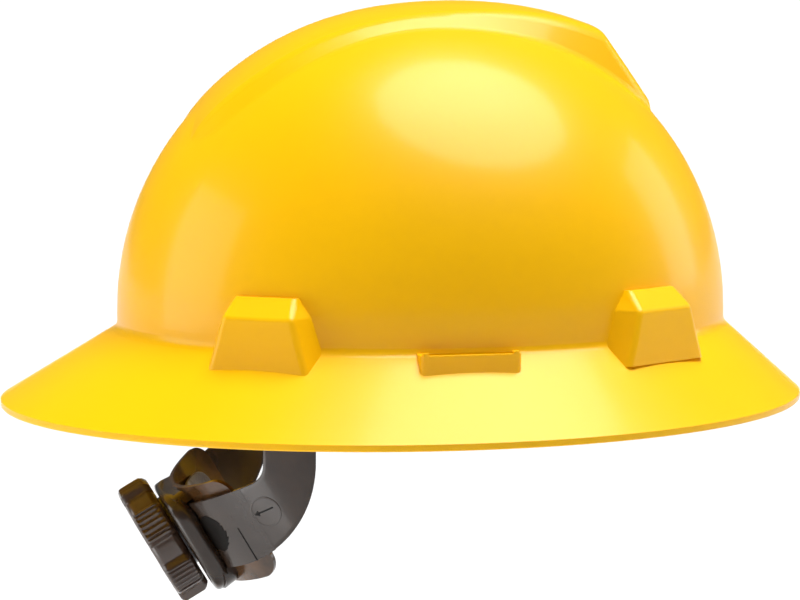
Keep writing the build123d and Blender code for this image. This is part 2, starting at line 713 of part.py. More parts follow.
def rack(side):
    """A strap end: the wide strap, its tongue, and a slot with teeth along one edge.

    The left rack has its teeth above the pinion, the right one below it.
    """
    inner = layer_radius(side)
    outer = inner + RACK_WALL
    middle = (inner + outer) / 2
    slot_reach = RACK_TOP_TRAVEL + PITCH_RADIUS + 2 * ADDENDUM
    tip_reach = RACK_LOW_TRAVEL + PITCH_RADIUS + 2 * ADDENDUM
    to_slot = degrees(slot_reach / middle)
    to_slot_tip = degrees(tip_reach / middle)
    to_tip = degrees((tip_reach + RACK_TIP) / middle)
    tongue_high = PITCH_RADIUS + DEDENDUM + RACK_RAIL
    clear_high = PITCH_RADIUS + 2 * ADDENDUM
    root_high = PITCH_RADIUS + DEDENDUM

    wide = strap_beyond(side, WIDE_STRAP_ANGLE) - strap_beyond(side, ARM_SPLIT_ANGLE)
    low, high = sorted((-side * to_tip, side * (WIDE_STRAP_ANGLE + 1)))
    tongue = ring_sector(inner, outer, low, high, KNOB_W - tongue_high, KNOB_W + tongue_high)
    body = wide + NAPE.location * tongue
    low, high = sorted((-side * to_slot_tip, side * to_slot))
    above, below = (root_high, clear_high) if side > 0 else (clear_high, root_high)
    slot = ring_sector(inner - OVER, outer + OVER, low, high, KNOB_W - above, KNOB_W + below)
    body = body - NAPE.location * slot
    return body + [NAPE.location * tooth for tooth in rack_teeth(side, low, high)]


def rack_teeth(side, low, high):
    """The teeth between two angles, with a gap facing the pinion at rest."""
    inner = layer_radius(side)
    middle = inner + RACK_WALL / 2
    step = degrees(TOOTH_PITCH / middle)
    margin = degrees(TOOTH_PITCH / 2 / middle)
    teeth = []
    first = int((low + margin) / step) - 1
    last = int((high - margin) / step) + 1
    for i in range(first, last + 1):
        angle = (i + 0.5) * step
        if low + margin < angle < high - margin:
            outline = Plane.YZ * rack_tooth()
            tooth = Pos(inner, 0, -PITCH_RADIUS) * extrude(outline, RACK_WALL)
            if side < 0:
                tooth = mirror(tooth, Plane.XY)
            teeth.append(Rot(0, 0, angle) * Pos(0, 0, KNOB_W) * tooth)
    return teeth


def arm(side):
    """An arm: the lower strap, then a twisting web up to a flat pad on the headband."""
    lower = strap_beyond(side, ARM_SPLIT_ANGLE)
    top = lower.faces().sort_by(Axis.Z)[-1]
    seat = ARM_SEATS["left" if side > 0 else "right"]
    pad_box = box_between(
        (SEAT_GAP, -ARM_PAD_WIDTH / 2, ARM_PAD_LOW_Z),
        (SEAT_GAP + ARM_PAD_WALL, ARM_PAD_WIDTH / 2, ARM_PAD_TOP_Z),
    )
    pad = seat.location * pad_box
    bottom = pad.faces().sort_by(Axis.Z)[0]
    web = loft([top, bottom])
    drill = Cylinder(KEY_STUD_RADIUS + RUNNING_GAP, 4 * ARM_PAD_WALL)
    hole = seat.location * (Pos(0, 0, ARM_STUD_Z) * Rot(0, 90, 0) * drill)
    return lower + web + pad - hole


def arm_stud(side):
    """Rivet through an arm's pad and the headband."""
    seat = ARM_SEATS["left" if side > 0 else "right"]
    outer = SEAT_GAP + ARM_PAD_WALL
    length = outer + BAND_WALL + STUD_SINK
    shank = Rot(0, 90, 0) * Cylinder(KEY_STUD_RADIUS, length)
    shank = Pos((outer - BAND_WALL - STUD_SINK) / 2, 0, 0) * shank
    head = Rot(0, 90, 0) * Cylinder(STUD_HEAD_RADIUS, STUD_HEAD_WALL)
    outside = Pos(outer + STUD_HEAD_WALL / 2, 0, 0) * head
    inside = Pos(-BAND_WALL - STUD_SINK - STUD_HEAD_WALL / 2, 0, 0) * head
    return seat.location * Pos(0, 0, ARM_STUD_Z) * (shank + outside + inside)


def corners_rounded(plate, radius):
    """Round the four radial corner edges of a curved plate."""
    wall = min(edge.length for edge in plate.edges())
    corners = [edge for edge in plate.edges() if abs(edge.length - wall) < RUNNING_GAP]
    return fillet(corners, radius)


def nape_plate():
    """Inner plate of the housing, that the straps slide on."""
    plate = ring_sector(
        NAPE_INNER_RADIUS,
        PLATE_OUTER_RADIUS,
        -PLATE_HALF_ANGLE,
        PLATE_HALF_ANGLE,
        PLATE_TOP_W,
        PLATE_BOTTOM_W,
    )
    plate = corners_rounded(plate, PLATE_CORNER)
    bore = knob_cylinder(AXLE_RADIUS + RUNNING_GAP, 0, COVER_OUTER_RADIUS)
    return NAPE.location * (plate - bore)


def knob_cylinder(radius, low_x, high_x):
    """A round bar on the knob's axis, in the nape frame."""
    return Pos((low_x + high_x) / 2, 0, KNOB_W) * Rot(0, 90, 0) * Cylinder(radius, high_x - low_x)


def nape_pad():
    """Soft pad inside the plate, with a well for the axle's screw."""
    outer = NAPE_INNER_RADIUS - SEAT_GAP
    pad = ring_sector(
        outer - NAPE_PAD_WALL,
        outer,
        -NAPE_PAD_HALF_ANGLE,
        NAPE_PAD_HALF_ANGLE,
        PLATE_TOP_W + NAPE_PAD_MARGIN,
        PLATE_BOTTOM_W - NAPE_PAD_MARGIN,
    )
    pad = corners_rounded(pad, PLATE_CORNER)
    well = knob_cylinder(SCREW_HEAD_RADIUS + SEAT_GAP, 0, COVER_OUTER_RADIUS)
    return NAPE.location * (pad - well)


def nape_cover():
    """Outer cover: bridges the straps, and carries the cup with the ratchet teeth."""
    cover = ring_sector(
        PLATE_OUTER_RADIUS,
        COVER_OUTER_RADIUS,
        -COVER_HALF_ANGLE,
        COVER_HALF_ANGLE,
        COVER_TOP_W,
        COVER_BOTTOM_W,
    )
    cover = corners_rounded(cover, COVER_CORNER)
    channel = ring_sector(
        PLATE_OUTER_RADIUS - OVER,
        COVER_INNER_RADIUS,
        -COVER_HALF_ANGLE - COVER_CORNER,
        COVER_HALF_ANGLE + COVER_CORNER,
        STRAP_UPPER_W - LAYER_GAP,
        STRAP_LOWER_W + LAYER_GAP,
    )
    cup_top = KNOB_FACE_RADIUS - SEAT_GAP
    floor = COVER_INNER_RADIUS + COVER_WALL
    cup = knob_cylinder(HUB_RADIUS, COVER_INNER_RADIUS + COVER_WALL / 2, cup_top)
    cover = cover - channel + cup
    hollow = extrude(ratchet_outline(), cup_top)
    cover = cover - Pos(floor, 0, KNOB_W) * Rot(0, 90, 0) * hollow
    bore = knob_cylinder(AXLE_RADIUS + RUNNING_GAP, NAPE_INNER_RADIUS, KNOB_FACE_RADIUS)
    return NAPE.location * (cover - bore)


def ratchet_outline():
    """Inside outline of the cup: saw teeth all round."""
    outer = HUB_RADIUS - HUB_WALL
    inner = outer - RATCHET_TOOTH_DEPTH
    points = []
    for i in range(RATCHET_TEETH):
        turn = 2 * pi * i / RATCHET_TEETH
        points.append((inner * cos(turn), inner * sin(turn)))
        steep = turn + pi / RATCHET_TEETH
        points.append((outer * cos(steep), outer * sin(steep)))
    return Polygon(*points, align=None)


def pinion_outline():
    """Gear outline with involute flanks, from the tooth count and the pressure angle."""
    base = PITCH_RADIUS * cos(radians(PRESSURE_ANGLE))
    tip = PITCH_RADIUS + ADDENDUM
    root = PITCH_RADIUS - DEDENDUM
    half_thick = (TOOTH_PITCH - BACKLASH) / 4 / PITCH_RADIUS
    roll_at_pitch = tan(radians(PRESSURE_ANGLE)) - radians(PRESSURE_ANGLE)
    points = []
    for i in range(PINION_TEETH):
        centre = 2 * pi * i / PINION_TEETH
        flank = []
        for level in range(PINION_FLANK_STEPS + 1):
            radius = base + (tip - base) * level / PINION_FLANK_STEPS
            pressure = acos(base / radius)
            half = half_thick + roll_at_pitch - (tan(pressure) - pressure)
            flank.append((radius, half))
        half_root = flank[0][1]
        rising = [(root, -half_root)] + [(radius, -half) for radius, half in flank]
        falling = [(radius, half) for radius, half in reversed(flank)] + [(root, half_root)]
        for radius, turn in rising + falling:
            points.append((radius * cos(centre + turn), radius * sin(centre + turn)))
    return Polygon(*points, align=None)


def pinion():
    """Pinion with its axle: a stub in the plate, the gear between, and a shaft up to the knob."""
    tip = PITCH_RADIUS + ADDENDUM
    gear_low = PLATE_OUTER_RADIUS + LAYER_GAP / 2
    gear_high = sqrt(COVER_INNER_RADIUS**2 - tip**2) - LAYER_GAP / 2
    gear = extrude(pinion_outline(), gear_high - gear_low)
    gear = Pos(gear_low, 0, KNOB_W) * Rot(0, 90, 0) * gear
    stub = knob_cylinder(AXLE_RADIUS, NAPE_INNER_RADIUS + RUNNING_GAP, gear_low + LAYER_GAP)
    shaft = knob_cylinder(AXLE_RADIUS, gear_high - LAYER_GAP, KNOB_FACE_RADIUS + KNOB_SOCKET)
    thread = knob_cylinder(SCREW_RADIUS, NAPE_INNER_RADIUS - OVER, gear_high)
    return NAPE.location * (gear + stub + shaft - thread)


def axle_screw():
    """Screw that keeps the pinion in the plate, its head inside."""
    head_top = sqrt(NAPE_INNER_RADIUS**2 - SCREW_HEAD_RADIUS**2) - RUNNING_GAP
    head = knob_cylinder(SCREW_HEAD_RADIUS, head_top - SCREW_HEAD_WALL, head_top)
    gear_high = PLATE_OUTER_RADIUS + LAYER_GAP
    body = knob_cylinder(SCREW_RADIUS, head_top - SCREW_HEAD_WALL / 2, gear_high)
    washer = knob_cylinder(AXLE_RADIUS, head_top - RUNNING_GAP, NAPE_INNER_RADIUS + RUNNING_GAP)
    return NAPE.location * (head + body + washer)


def ratchet_pawl():
    """Springy spider in the cup: a hub on the axle and two curved fingers that ride the teeth."""
    low = COVER_OUTER_RADIUS + LAYER_GAP
    high = KNOB_FACE_RADIUS - SEAT_GAP
    hub = Circle(AXLE_RADIUS + PAWL_WALL)
    outline = hub
    for turn in (0, 180):
        spoke = Pos(PAWL_RADIUS / 2, 0) * Rectangle(PAWL_RADIUS, PAWL_WALL)
        ring = Circle(PAWL_RADIUS - PAWL_WALL / 2) - Circle(PAWL_RADIUS - 3 * PAWL_WALL / 2)
        quarter = Pos(PAWL_RADIUS / 2, PAWL_RADIUS / 2) * Rectangle(PAWL_RADIUS, PAWL_RADIUS)
        tip = Pos(PAWL_RADIUS - PAWL_WALL / 2, 0) * Rectangle(PAWL_WALL, PAWL_WALL)
        nose = Rot(0, 0, PAWL_NOSE_ANGLE) * tip
        finger = spoke + (ring & quarter) + nose
        outline = outline + Rot(0, 0, turn) * finger
    outline = outline & Circle(PAWL_RADIUS)
    outline = outline - Circle(AXLE_RADIUS)
    spider = extrude(outline, high - low)
    return NAPE.location * (Pos(low, 0, KNOB_W) * Rot(0, 90, 0) * spider)


def knob():
    """Eight sided knob: its back edge chamfered deep, grip ribs on four of its sides."""
    body = extrude(RegularPolygon(KNOB_RADIUS, KNOB_LOBES, rotation=180 / KNOB_LOBES), KNOB_WALL)
    body = chamfer(body.edges().group_by(Axis.Z)[0], KNOB_BACK_CHAMFER)
    body = fillet(body.edges().group_by(Axis.Z)[-1], KNOB_FACE_FILLET)
    apothem = KNOB_RADIUS * cos(pi / KNOB_LOBES)
    for lobe in range(0, KNOB_LOBES, 2):
        for rib in range(KNOB_RIBS):
            across = (rib - (KNOB_RIBS - 1) / 2) * KNOB_RIB_PITCH
            cut = Pos(apothem, across, 0) * Cylinder(KNOB_RIB_DEPTH, 2 * (KNOB_WALL - KNOB_RIB_DEPTH))
            body = body - Rot(0, 0, lobe * 360 / KNOB_LOBES) * cut
    body = body - Cylinder(AXLE_RADIUS, 2 * KNOB_SOCKET)
    return NAPE.location * (Pos(KNOB_FACE_RADIUS, 0, KNOB_W) * Rot(0, 90, 0) * body)


def save(node, part):
    part.label = node
    export_step(part, os.path.join("parts", node + ".step"))
    print(node, "solids", len(part.solids()), "volume", round(part.volume, 1))


os.makedirs("parts", exist_ok=True)
save("shell", shell())
save("headband", headband())
save("brow_pad", brow_pad())
save("crown_strap_left", crown_strap(1))
save("crown_strap_right", crown_strap(-1))
for pocket_name in POCKETS:
    save(f"{pocket_name}_key", key(pocket_name))
for side_name, side_sign in (("left", 1), ("right", -1)):
    save(f"{side_name}_arm", arm(side_sign))
    save(f"{side_name}_arm_stud", arm_stud(side_sign))
    save(f"{side_name}_rack", rack(side_sign))
save("nape_plate", nape_plate())
save("nape_pad", nape_pad())
save("nape_cover", nape_cover())
save("pinion", pinion())
save("axle_screw", axle_screw())
save("ratchet_pawl", ratchet_pawl())
save("ratchet_knob", knob())
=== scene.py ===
import math

import bmesh
import bpy
from mathutils import Matrix, Vector


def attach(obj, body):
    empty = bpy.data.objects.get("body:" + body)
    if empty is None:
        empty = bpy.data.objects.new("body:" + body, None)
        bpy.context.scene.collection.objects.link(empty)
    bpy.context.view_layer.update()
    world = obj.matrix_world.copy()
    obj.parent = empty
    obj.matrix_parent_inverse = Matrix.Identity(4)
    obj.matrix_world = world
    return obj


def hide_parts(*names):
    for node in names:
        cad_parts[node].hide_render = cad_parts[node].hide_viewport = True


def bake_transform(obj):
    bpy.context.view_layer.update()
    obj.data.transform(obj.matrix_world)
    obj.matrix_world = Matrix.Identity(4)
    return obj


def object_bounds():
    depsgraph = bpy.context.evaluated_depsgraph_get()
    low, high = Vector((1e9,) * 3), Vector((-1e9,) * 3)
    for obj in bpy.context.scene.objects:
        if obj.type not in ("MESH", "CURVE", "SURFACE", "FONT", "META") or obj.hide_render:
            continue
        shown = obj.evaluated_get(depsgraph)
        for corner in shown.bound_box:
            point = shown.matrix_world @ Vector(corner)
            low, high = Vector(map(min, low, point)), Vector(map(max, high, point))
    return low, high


bl_info = {
    "name": "Full Brim Hard Hat",
    "version": (1, 0, 0),
    "blender": (4, 5, 0),
    "location": "View3D > Sidebar > Hard Hat",
    "description": "Dresses a full brim hard hat with its harness and ratchet nape strap",
    "category": "Object",
}

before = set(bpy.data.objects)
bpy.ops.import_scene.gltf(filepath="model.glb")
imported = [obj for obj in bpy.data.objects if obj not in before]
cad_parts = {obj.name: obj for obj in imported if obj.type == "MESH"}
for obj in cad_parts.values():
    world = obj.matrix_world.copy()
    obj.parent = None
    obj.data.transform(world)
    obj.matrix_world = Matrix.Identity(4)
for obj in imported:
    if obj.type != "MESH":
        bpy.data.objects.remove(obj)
CAD_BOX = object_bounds()
MM = 0.001

# Sizes that the pieces share with the CAD, in millimetres
TILT = math.radians(30.0)
OUT = Vector((-math.cos(TILT), -math.sin(TILT)))
DOWN = Vector((math.sin(TILT), -math.cos(TILT)))
NAPE_CENTRE_U = 49.5
STRAP_WALL = 1.4
LAYER_RADIUS = {"left": 60.9, "right": 62.6}
SIDES = {"left": 1, "right": -1}
STRAP_UPPER_W = -4.5
STRAP_LOWER_W = 25.0
ARM_FRONT_X = -51.5
ARM_REAR_X = -70.9
ARM_JOIN_Z = -25.0
BAND_OUTER = (99.8, 80.8)
BAND_INNER = (98.0, 79.0)
KNOB_W = 7.6

# Points of a piece closer than this, in millimetres, are joined
WELD = 0.01


# Colours and materials


def linear(hex_colour):
    """Linear RGBA of an sRGB hex value."""
    values = []
    for i in (0, 2, 4):
        share = int(hex_colour[i : i + 2], 16) / 255
        values.append(share / 12.92 if share <= 0.04045 else ((share + 0.055) / 1.055) ** 2.4)
    return (*values, 1.0)


def add(tree, kind, links=(), **settings):
    """Adds a node, sets its properties or sockets by name, and links (from socket, to name)."""
    made = tree.nodes.new(kind)
    for key, value in settings.items():
        if hasattr(made, key):
            setattr(made, key, value)
        else:
            made.inputs[key.replace("_", " ")].default_value = value
    for source, target in links:
        tree.links.new(source, made.inputs[target])
    return made


def finish_of(name, **sockets):
    """A material with one Principled shader; returns it with its tree and shader."""
    made = bpy.data.materials.new(name)
    made.use_nodes = True
    tree = made.node_tree
    shader = tree.nodes["Principled BSDF"]
    for key, value in sockets.items():
        shader.inputs[key.replace("_", " ")].default_value = value
    return made, tree, shader


def bumped(tree, shader, height, strength, distance_mm):
    """Feeds a height into the shader's normal."""
    bump = add(
        tree, "ShaderNodeBump", [(height, "Height")], Strength=strength, Distance=distance_mm * MM
    )
    tree.links.new(bump.outputs["Normal"], shader.inputs["Normal"])


def moulded_yellow_polyethylene(settings):
    """Injection moulded high density polyethylene: deep yellow, a soft wide gloss, faint flow."""
    material, tree, shader = finish_of(
        "moulded_yellow_polyethylene",
        Roughness=0.36,
        IOR=1.5,
        Specular_IOR_Level=0.14,
        Coat_Weight=0.2,
        Coat_Roughness=0.14,
    )
    place = add(tree, "ShaderNodeTexCoord").outputs["Object"]
    # Pigment swirls some 60 mm wide, hardly seen
    cloud = add(tree, "ShaderNodeTexNoise", [(place, "Vector")], Scale=16.0, Detail=3.0)
    tint = add(tree, "ShaderNodeValToRGB", [(cloud.outputs["Fac"], "Fac")])
    tint.color_ramp.elements[0].position = 0.3
    tint.color_ramp.elements[0].color = (*(0.95 * share for share in settings.shell_colour), 1.0)
    tint.color_ramp.elements[1].position = 0.75
    tint.color_ramp.elements[1].color = (*settings.shell_colour, 1.0)
    tree.links.new(tint.outputs["Color"], shader.inputs["Base Color"])
    # The mould's polish: waves about 30 mm long, and a grain of 0.7 mm drawn coarse to show
    wave = add(tree, "ShaderNodeTexNoise", [(place, "Vector")], Scale=34.0, Detail=1.0)
    grain = add(tree, "ShaderNodeTexNoise", [(place, "Vector")], Scale=1400.0, Detail=2.0)
    both = add(
        tree,
        "ShaderNodeMath",
        [(grain.outputs["Fac"], 0), (wave.outputs["Fac"], 2)],
        operation="MULTIPLY_ADD",
    )
    both.inputs[1].default_value = 0.03
    bumped(tree, shader, both.outputs[0], 0.10, 0.5)
    return material


def smoky_polypropylene(name, deep, pale, roughness, grain_mm, gloss=0.5):
    """Tinted polypropylene, a little translucent: colour drifts from deep to pale with the wall."""
    material, tree, shader = finish_of(
        name,
        Roughness=roughness,
        IOR=1.49,
        Specular_IOR_Level=gloss,
        Coat_Weight=gloss,
        Coat_Roughness=0.1,
        Subsurface_Weight=0.08,
        Subsurface_Radius=(0.004, 0.002, 0.001),
        Subsurface_Scale=0.4,
    )
    place = add(tree, "ShaderNodeTexCoord").outputs["Object"]
    cloud = add(tree, "ShaderNodeTexNoise", [(place, "Vector")], Scale=60.0, Detail=4.0)
    tint = add(tree, "ShaderNodeValToRGB", [(cloud.outputs["Fac"], "Fac")])
    tint.color_ramp.elements[0].position = 0.35
    tint.color_ramp.elements[0].color = linear(deep)
    tint.color_ramp.elements[1].position = 0.7
    tint.color_ramp.elements[1].color = linear(pale)
    tree.links.new(tint.outputs["Color"], shader.inputs["Base Color"])
    # Moulded grain, and sink marks about 14 mm long that bend the reflections
    grain = add(
        tree, "ShaderNodeTexNoise", [(place, "Vector")], Scale=1 / (grain_mm * MM), Detail=3.0
    )
    sink = add(tree, "ShaderNodeTexNoise", [(place, "Vector")], Scale=70.0, Detail=1.0)
    both = add(
        tree,
        "ShaderNodeMath",
        [(sink.outputs["Fac"], 0), (grain.outputs["Fac"], 2)],
        operation="MULTIPLY_ADD",
    )
    both.inputs[1].default_value = 6.0
    bumped(tree, shader, both.outputs[0], 0.25, 0.12)
    return material


def woven_polyester(name, thread_mm, colour):
    """Narrow woven webbing: ribs across the strap and threads along it, on the strap's own map."""
    material, tree, shader = finish_of(
        name, Roughness=0.82, Sheen_Weight=0.35, Sheen_Roughness=0.45
    )
    place = add(tree, "ShaderNodeUVMap", uv_map="pattern").outputs["UV"]
    # A wave texture's period is 2 pi / 20 units, so this gives one rib a thread
    scale = 2 * math.pi / 20 / (thread_mm * MM)
    rib = add(tree, "ShaderNodeTexWave", [(place, "Vector")], bands_direction="X", Scale=scale)
    thread = add(
        tree, "ShaderNodeTexWave", [(place, "Vector")], bands_direction="Y", Scale=scale / 1.6
    )
    both = add(
        tree,
        "ShaderNodeMath",
        [(rib.outputs["Fac"], 0), (thread.outputs["Fac"], 1)],
        operation="MULTIPLY",
    )
    # The colour falls to a quarter where ribs and threads dip: painted shade in the gaps of the
    # weave
    tint = add(tree, "ShaderNodeValToRGB", [(both.outputs[0], "Fac")])
    tint.color_ramp.elements[0].color = (*(0.25 * share for share in colour), 1.0)
    tint.color_ramp.elements[1].color = (*colour, 1.0)
    tree.links.new(tint.outputs["Color"], shader.inputs["Base Color"])
    bumped(tree, shader, both.outputs[0], 0.6, 0.25)
    return material


def sewing_thread():
    """Bonded nylon thread: a soft shine broken by its twist."""
    material, tree, shader = finish_of("bonded_nylon_thread", Roughness=0.55, Sheen_Weight=0.2)
    place = add(tree, "ShaderNodeTexCoord").outputs["Object"]
    # The twist is 0.4 mm long
    twist = add(tree, "ShaderNodeTexNoise", [(place, "Vector")], Scale=1 / (0.4 * MM), Detail=1.0)
    tint = add(tree, "ShaderNodeValToRGB", [(twist.outputs["Fac"], "Fac")])
    tint.color_ramp.elements[0].color = linear("3E3E42")
    tint.color_ramp.elements[1].color = linear("6A6A70")
    tree.links.new(tint.outputs["Color"], shader.inputs["Base Color"])
    bumped(tree, shader, twist.outputs["Fac"], 0.4, 0.1)
    return material


def brushed_pad_cloth():
    """Knitted polyester bonded to foam: rough, a pile that catches light at its edges."""
    material, tree, shader = finish_of(
        "brushed_pad_cloth", Roughness=0.95, Sheen_Weight=0.55, Sheen_Roughness=0.5
    )
    place = add(tree, "ShaderNodeTexCoord").outputs["Object"]
    # Loops of the knit are 0.9 mm apart, the pile's clumps about 6 mm
    loops = add(
        tree, "ShaderNodeTexVoronoi", [(place, "Vector")], Scale=1 / (0.9 * MM), Randomness=0.6
    )
    pile = add(tree, "ShaderNodeTexNoise", [(place, "Vector")], Scale=1 / (6 * MM), Detail=3.0)
    tint = add(tree, "ShaderNodeValToRGB", [(pile.outputs["Fac"], "Fac")])
    tint.color_ramp.elements[0].color = linear("181715")
    tint.color_ramp.elements[1].color = linear("2E2B28")
    tree.links.new(tint.outputs["Color"], shader.inputs["Base Color"])
    bumped(tree, shader, loops.outputs["Distance"], 0.5, 0.3)
    return material


def zinc_steel():
    """Zinc plated screw: bright metal, rough from its plating bath."""
    material, tree, shader = finish_of(
        "zinc_plated_steel", Base_Color=linear("B8B8BA"), Metallic=1.0, Roughness=0.32
    )
    place = add(tree, "ShaderNodeTexCoord").outputs["Object"]
    bath = add(tree, "ShaderNodeTexNoise", [(place, "Vector")], Scale=2500.0, Detail=2.0)
    bumped(tree, shader, bath.outputs["Fac"], 0.2, 0.03)
    return material


def studio_paper():
    """Seamless white paper roll: matt, a tooth of 0.5 mm."""
    material, tree, shader = finish_of("studio_paper", Base_Color=linear("CCCCCC"), Roughness=0.95)
    place = add(tree, "ShaderNodeTexCoord").outputs["Object"]
    tooth = add(tree, "ShaderNodeTexNoise", [(place, "Vector")], Scale=2000.0)
    bumped(tree, shader, tooth.outputs["Fac"], 0.05, 0.05)
    return material


# Making pieces


def dress(node, material):
    """Gives a CAD node its material."""
    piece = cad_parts[node]
    piece.data.materials.clear()
    piece.data.materials.append(material)


def mapped_grid(columns, rows, place, size=(1.0, 1.0)):
    """A sheet of quads; place gives each point, in millimetres, from its shares along and across.

    The map named pattern holds the same shares in metres of the sheet's real size.
    """
    work = bmesh.new()
    bmesh.ops.create_grid(work, x_segments=columns, y_segments=rows, size=0.5)
    pattern = work.loops.layers.uv.new("pattern")
    for face in work.faces:
        for loop in face.loops:
            along, across = loop.vert.co.x + 0.5, loop.vert.co.y + 0.5
            loop[pattern].uv = (along * size[0] * MM, across * size[1] * MM)
    for vertex in work.verts:
        vertex.co = Vector(place(vertex.co.x + 0.5, vertex.co.y + 0.5)) * MM
    return work


def piece_from(work, name, material):
    """Makes a scene object from a bmesh, smooth, with one material."""
    bmesh.ops.recalc_face_normals(work, faces=work.faces)
    mesh = bpy.data.meshes.new(name)
    work.to_mesh(mesh)
    work.free()
    mesh.materials.append(material)
    mesh.polygons.foreach_set("use_smooth", [True] * len(mesh.polygons))
    made = bpy.data.objects.new(name, mesh)
    bpy.context.scene.collection.objects.link(made)
    return made


THICKENED_ANGLE = 50


def thicken(piece, wall, edge):
    """Gives a sheet its wall and softens the edges."""
    solid = piece.modifiers.new("wall", "SOLIDIFY")
    solid.thickness = wall * MM
    solid.offset = 0.0
    solid.use_even_offset = True
    soften(piece, edge, THICKENED_ANGLE)


def soften(piece, width, degrees):
    """Rounds the edges sharper than an angle."""
    soft = piece.modifiers.new("edge", "BEVEL")
    soft.width = width * MM
    soft.segments = 2
    soft.limit_method = "ANGLE"
    soft.angle_limit = math.radians(degrees)


def settled(piece):
    """Applies the modifiers, so the piece keeps its last mesh."""
    depsgraph = bpy.context.evaluated_depsgraph_get()
    mesh = bpy.data.meshes.new_from_object(piece.evaluated_get(depsgraph))
    piece.modifiers.clear()
    piece.data = mesh


def smooth_step(share):
    """Eases from 0 to 1."""
    share = min(max(share, 0.0), 1.0)
    return share * share * (3 - 2 * share)


def nape_spot(radius, angle, w, side=1):
    """A point on a nape cylinder: angle in radians from the middle, w down along its axis."""
    spot = OUT * (NAPE_CENTRE_U + radius * math.cos(angle)) + DOWN * w
    return (spot.x, side * radius * math.sin(angle), spot.y)


def strap_spot(spot, radius, side):
    """A point of the strap's sheet above a spot of the side view."""
    reach = max(spot.dot(OUT) - NAPE_CENTRE_U, 0.0)
    return Vector((spot.x, side * math.sqrt(radius**2 - reach**2), spot.y))


def filleted(start, corner, end, radius, share):
    """A point at a share of the way along two straights joined by an arc, in the side view."""
    into = (corner - start).normalized()
    away = (end - corner).normalized()
    turn = into.angle(away)
    cut = radius * math.tan(turn / 2)
    first = (corner - start).length - cut
    last = (end - corner).length - cut
    along = share * (first + radius * turn + last)
    if along < first:
        return start + into * along
    if along > first + radius * turn:
        return corner + away * (cut + along - first - radius * turn)
    bent = (along - first) / radius
    inward = (away - into * into.dot(away)).normalized()
    return corner + into * (radius * math.sin(bent) - cut) + inward * radius * (1 - math.cos(bent))


def on_line(x, w):
    """Where the upright at x meets the strap line at w, in the side view."""
    return OUT * ((x - w * DOWN.x) / OUT.x) + DOWN * w


# Arms

ARM_SPLIT = math.radians(52.0)
TAIL_ANGLE = math.radians(25.0)
BEND_RADIUS = 50.0
BEND_TURN = math.radians(60.0)
CROOK_RADIUS = 8.0
ARM_WALL = 1.25
ARM_EDGE = 0.3
PAD_X = -59.0
PAD_HALF = 9.5
PAD_TOP_Z = 19.0
PAD_LOW_Z = -1.0
PAD_CORNER = 6.0
PAD_OUT = 1.35
TAIL_MARGIN = 0.4
TAIL_SHARE, BEND_SHARE, WEB_SHARE = 0.18, 0.58, 0.8


def lower_edge_w(radius, angle):
    """How far down the strap's lower edge lies at an angle, where it starts to bend up."""
    corner_u = on_line(ARM_FRONT_X, STRAP_LOWER_W).dot(OUT)
    bend_start = corner_u + BEND_RADIUS * math.tan(BEND_TURN / 2)
    reach = max(bend_start - NAPE_CENTRE_U - radius * math.cos(angle), 0.0)
    return STRAP_LOWER_W - BEND_RADIUS + math.sqrt(BEND_RADIUS**2 - reach**2)


def arm_spot(side, radius, along, across):
    """A point of an arm's middle surface: a thin tail, the bend, the twisting web and the pad."""
    if along < TAIL_SHARE:
        share = along / TAIL_SHARE
        angle = TAIL_ANGLE + (ARM_SPLIT - TAIL_ANGLE) * share
        margin = TAIL_MARGIN * (1 - share)
        high = STRAP_UPPER_W + margin
        low = lower_edge_w(radius, angle) - margin
        return nape_spot(radius, angle, high + (low - high) * across, side)
    split_u = NAPE_CENTRE_U + radius * math.cos(ARM_SPLIT)
    share = min((along - TAIL_SHARE) / (BEND_SHARE - TAIL_SHARE), 1.0)
    rear = filleted(
        OUT * split_u + DOWN * STRAP_UPPER_W,
        on_line(ARM_REAR_X, STRAP_UPPER_W),
        Vector((ARM_REAR_X, ARM_JOIN_Z)),
        CROOK_RADIUS,
        share,
    )
    corner = on_line(ARM_FRONT_X, STRAP_LOWER_W)
    start = corner + OUT * BEND_RADIUS * math.tan(BEND_TURN / 2)
    end = Vector((ARM_FRONT_X, ARM_JOIN_Z))
    length = BEND_RADIUS * BEND_TURN + (end - corner).length - (start - corner).length
    skipped = BEND_RADIUS * math.asin((start.dot(OUT) - split_u) / BEND_RADIUS) / length
    front = filleted(start, corner, end, BEND_RADIUS, skipped + (1 - skipped) * share)
    spot = strap_spot(rear.lerp(front, across), radius, side)
    if along <= BEND_SHARE:
        return spot
    share = min((along - BEND_SHARE) / (WEB_SHARE - BEND_SHARE), 1.0)
    y = BAND_OUTER[1] * math.sqrt(1 - (PAD_X / BAND_OUTER[0]) ** 2)
    outward = Vector((PAD_X / BAND_OUTER[0] ** 2, y / BAND_OUTER[1] ** 2)).normalized()
    slide = PAD_HALF * (2 * across - 1)
    seat = Vector((PAD_X, y)) + outward * PAD_OUT + Vector((outward.y, -outward.x)) * slide
    seat = Vector((seat.x, side * seat.y, 0))
    level = spot.lerp(seat, smooth_step(share))
    level.z = ARM_JOIN_Z + (PAD_LOW_Z - ARM_JOIN_Z) * share
    if along > WEB_SHARE:
        over = max(abs(slide) - PAD_HALF + PAD_CORNER, 0.0)
        top = PAD_TOP_Z - PAD_CORNER + math.sqrt(PAD_CORNER**2 - over**2)
        level.z += (top - PAD_LOW_Z) * (along - WEB_SHARE) / (1 - WEB_SHARE)
    return level


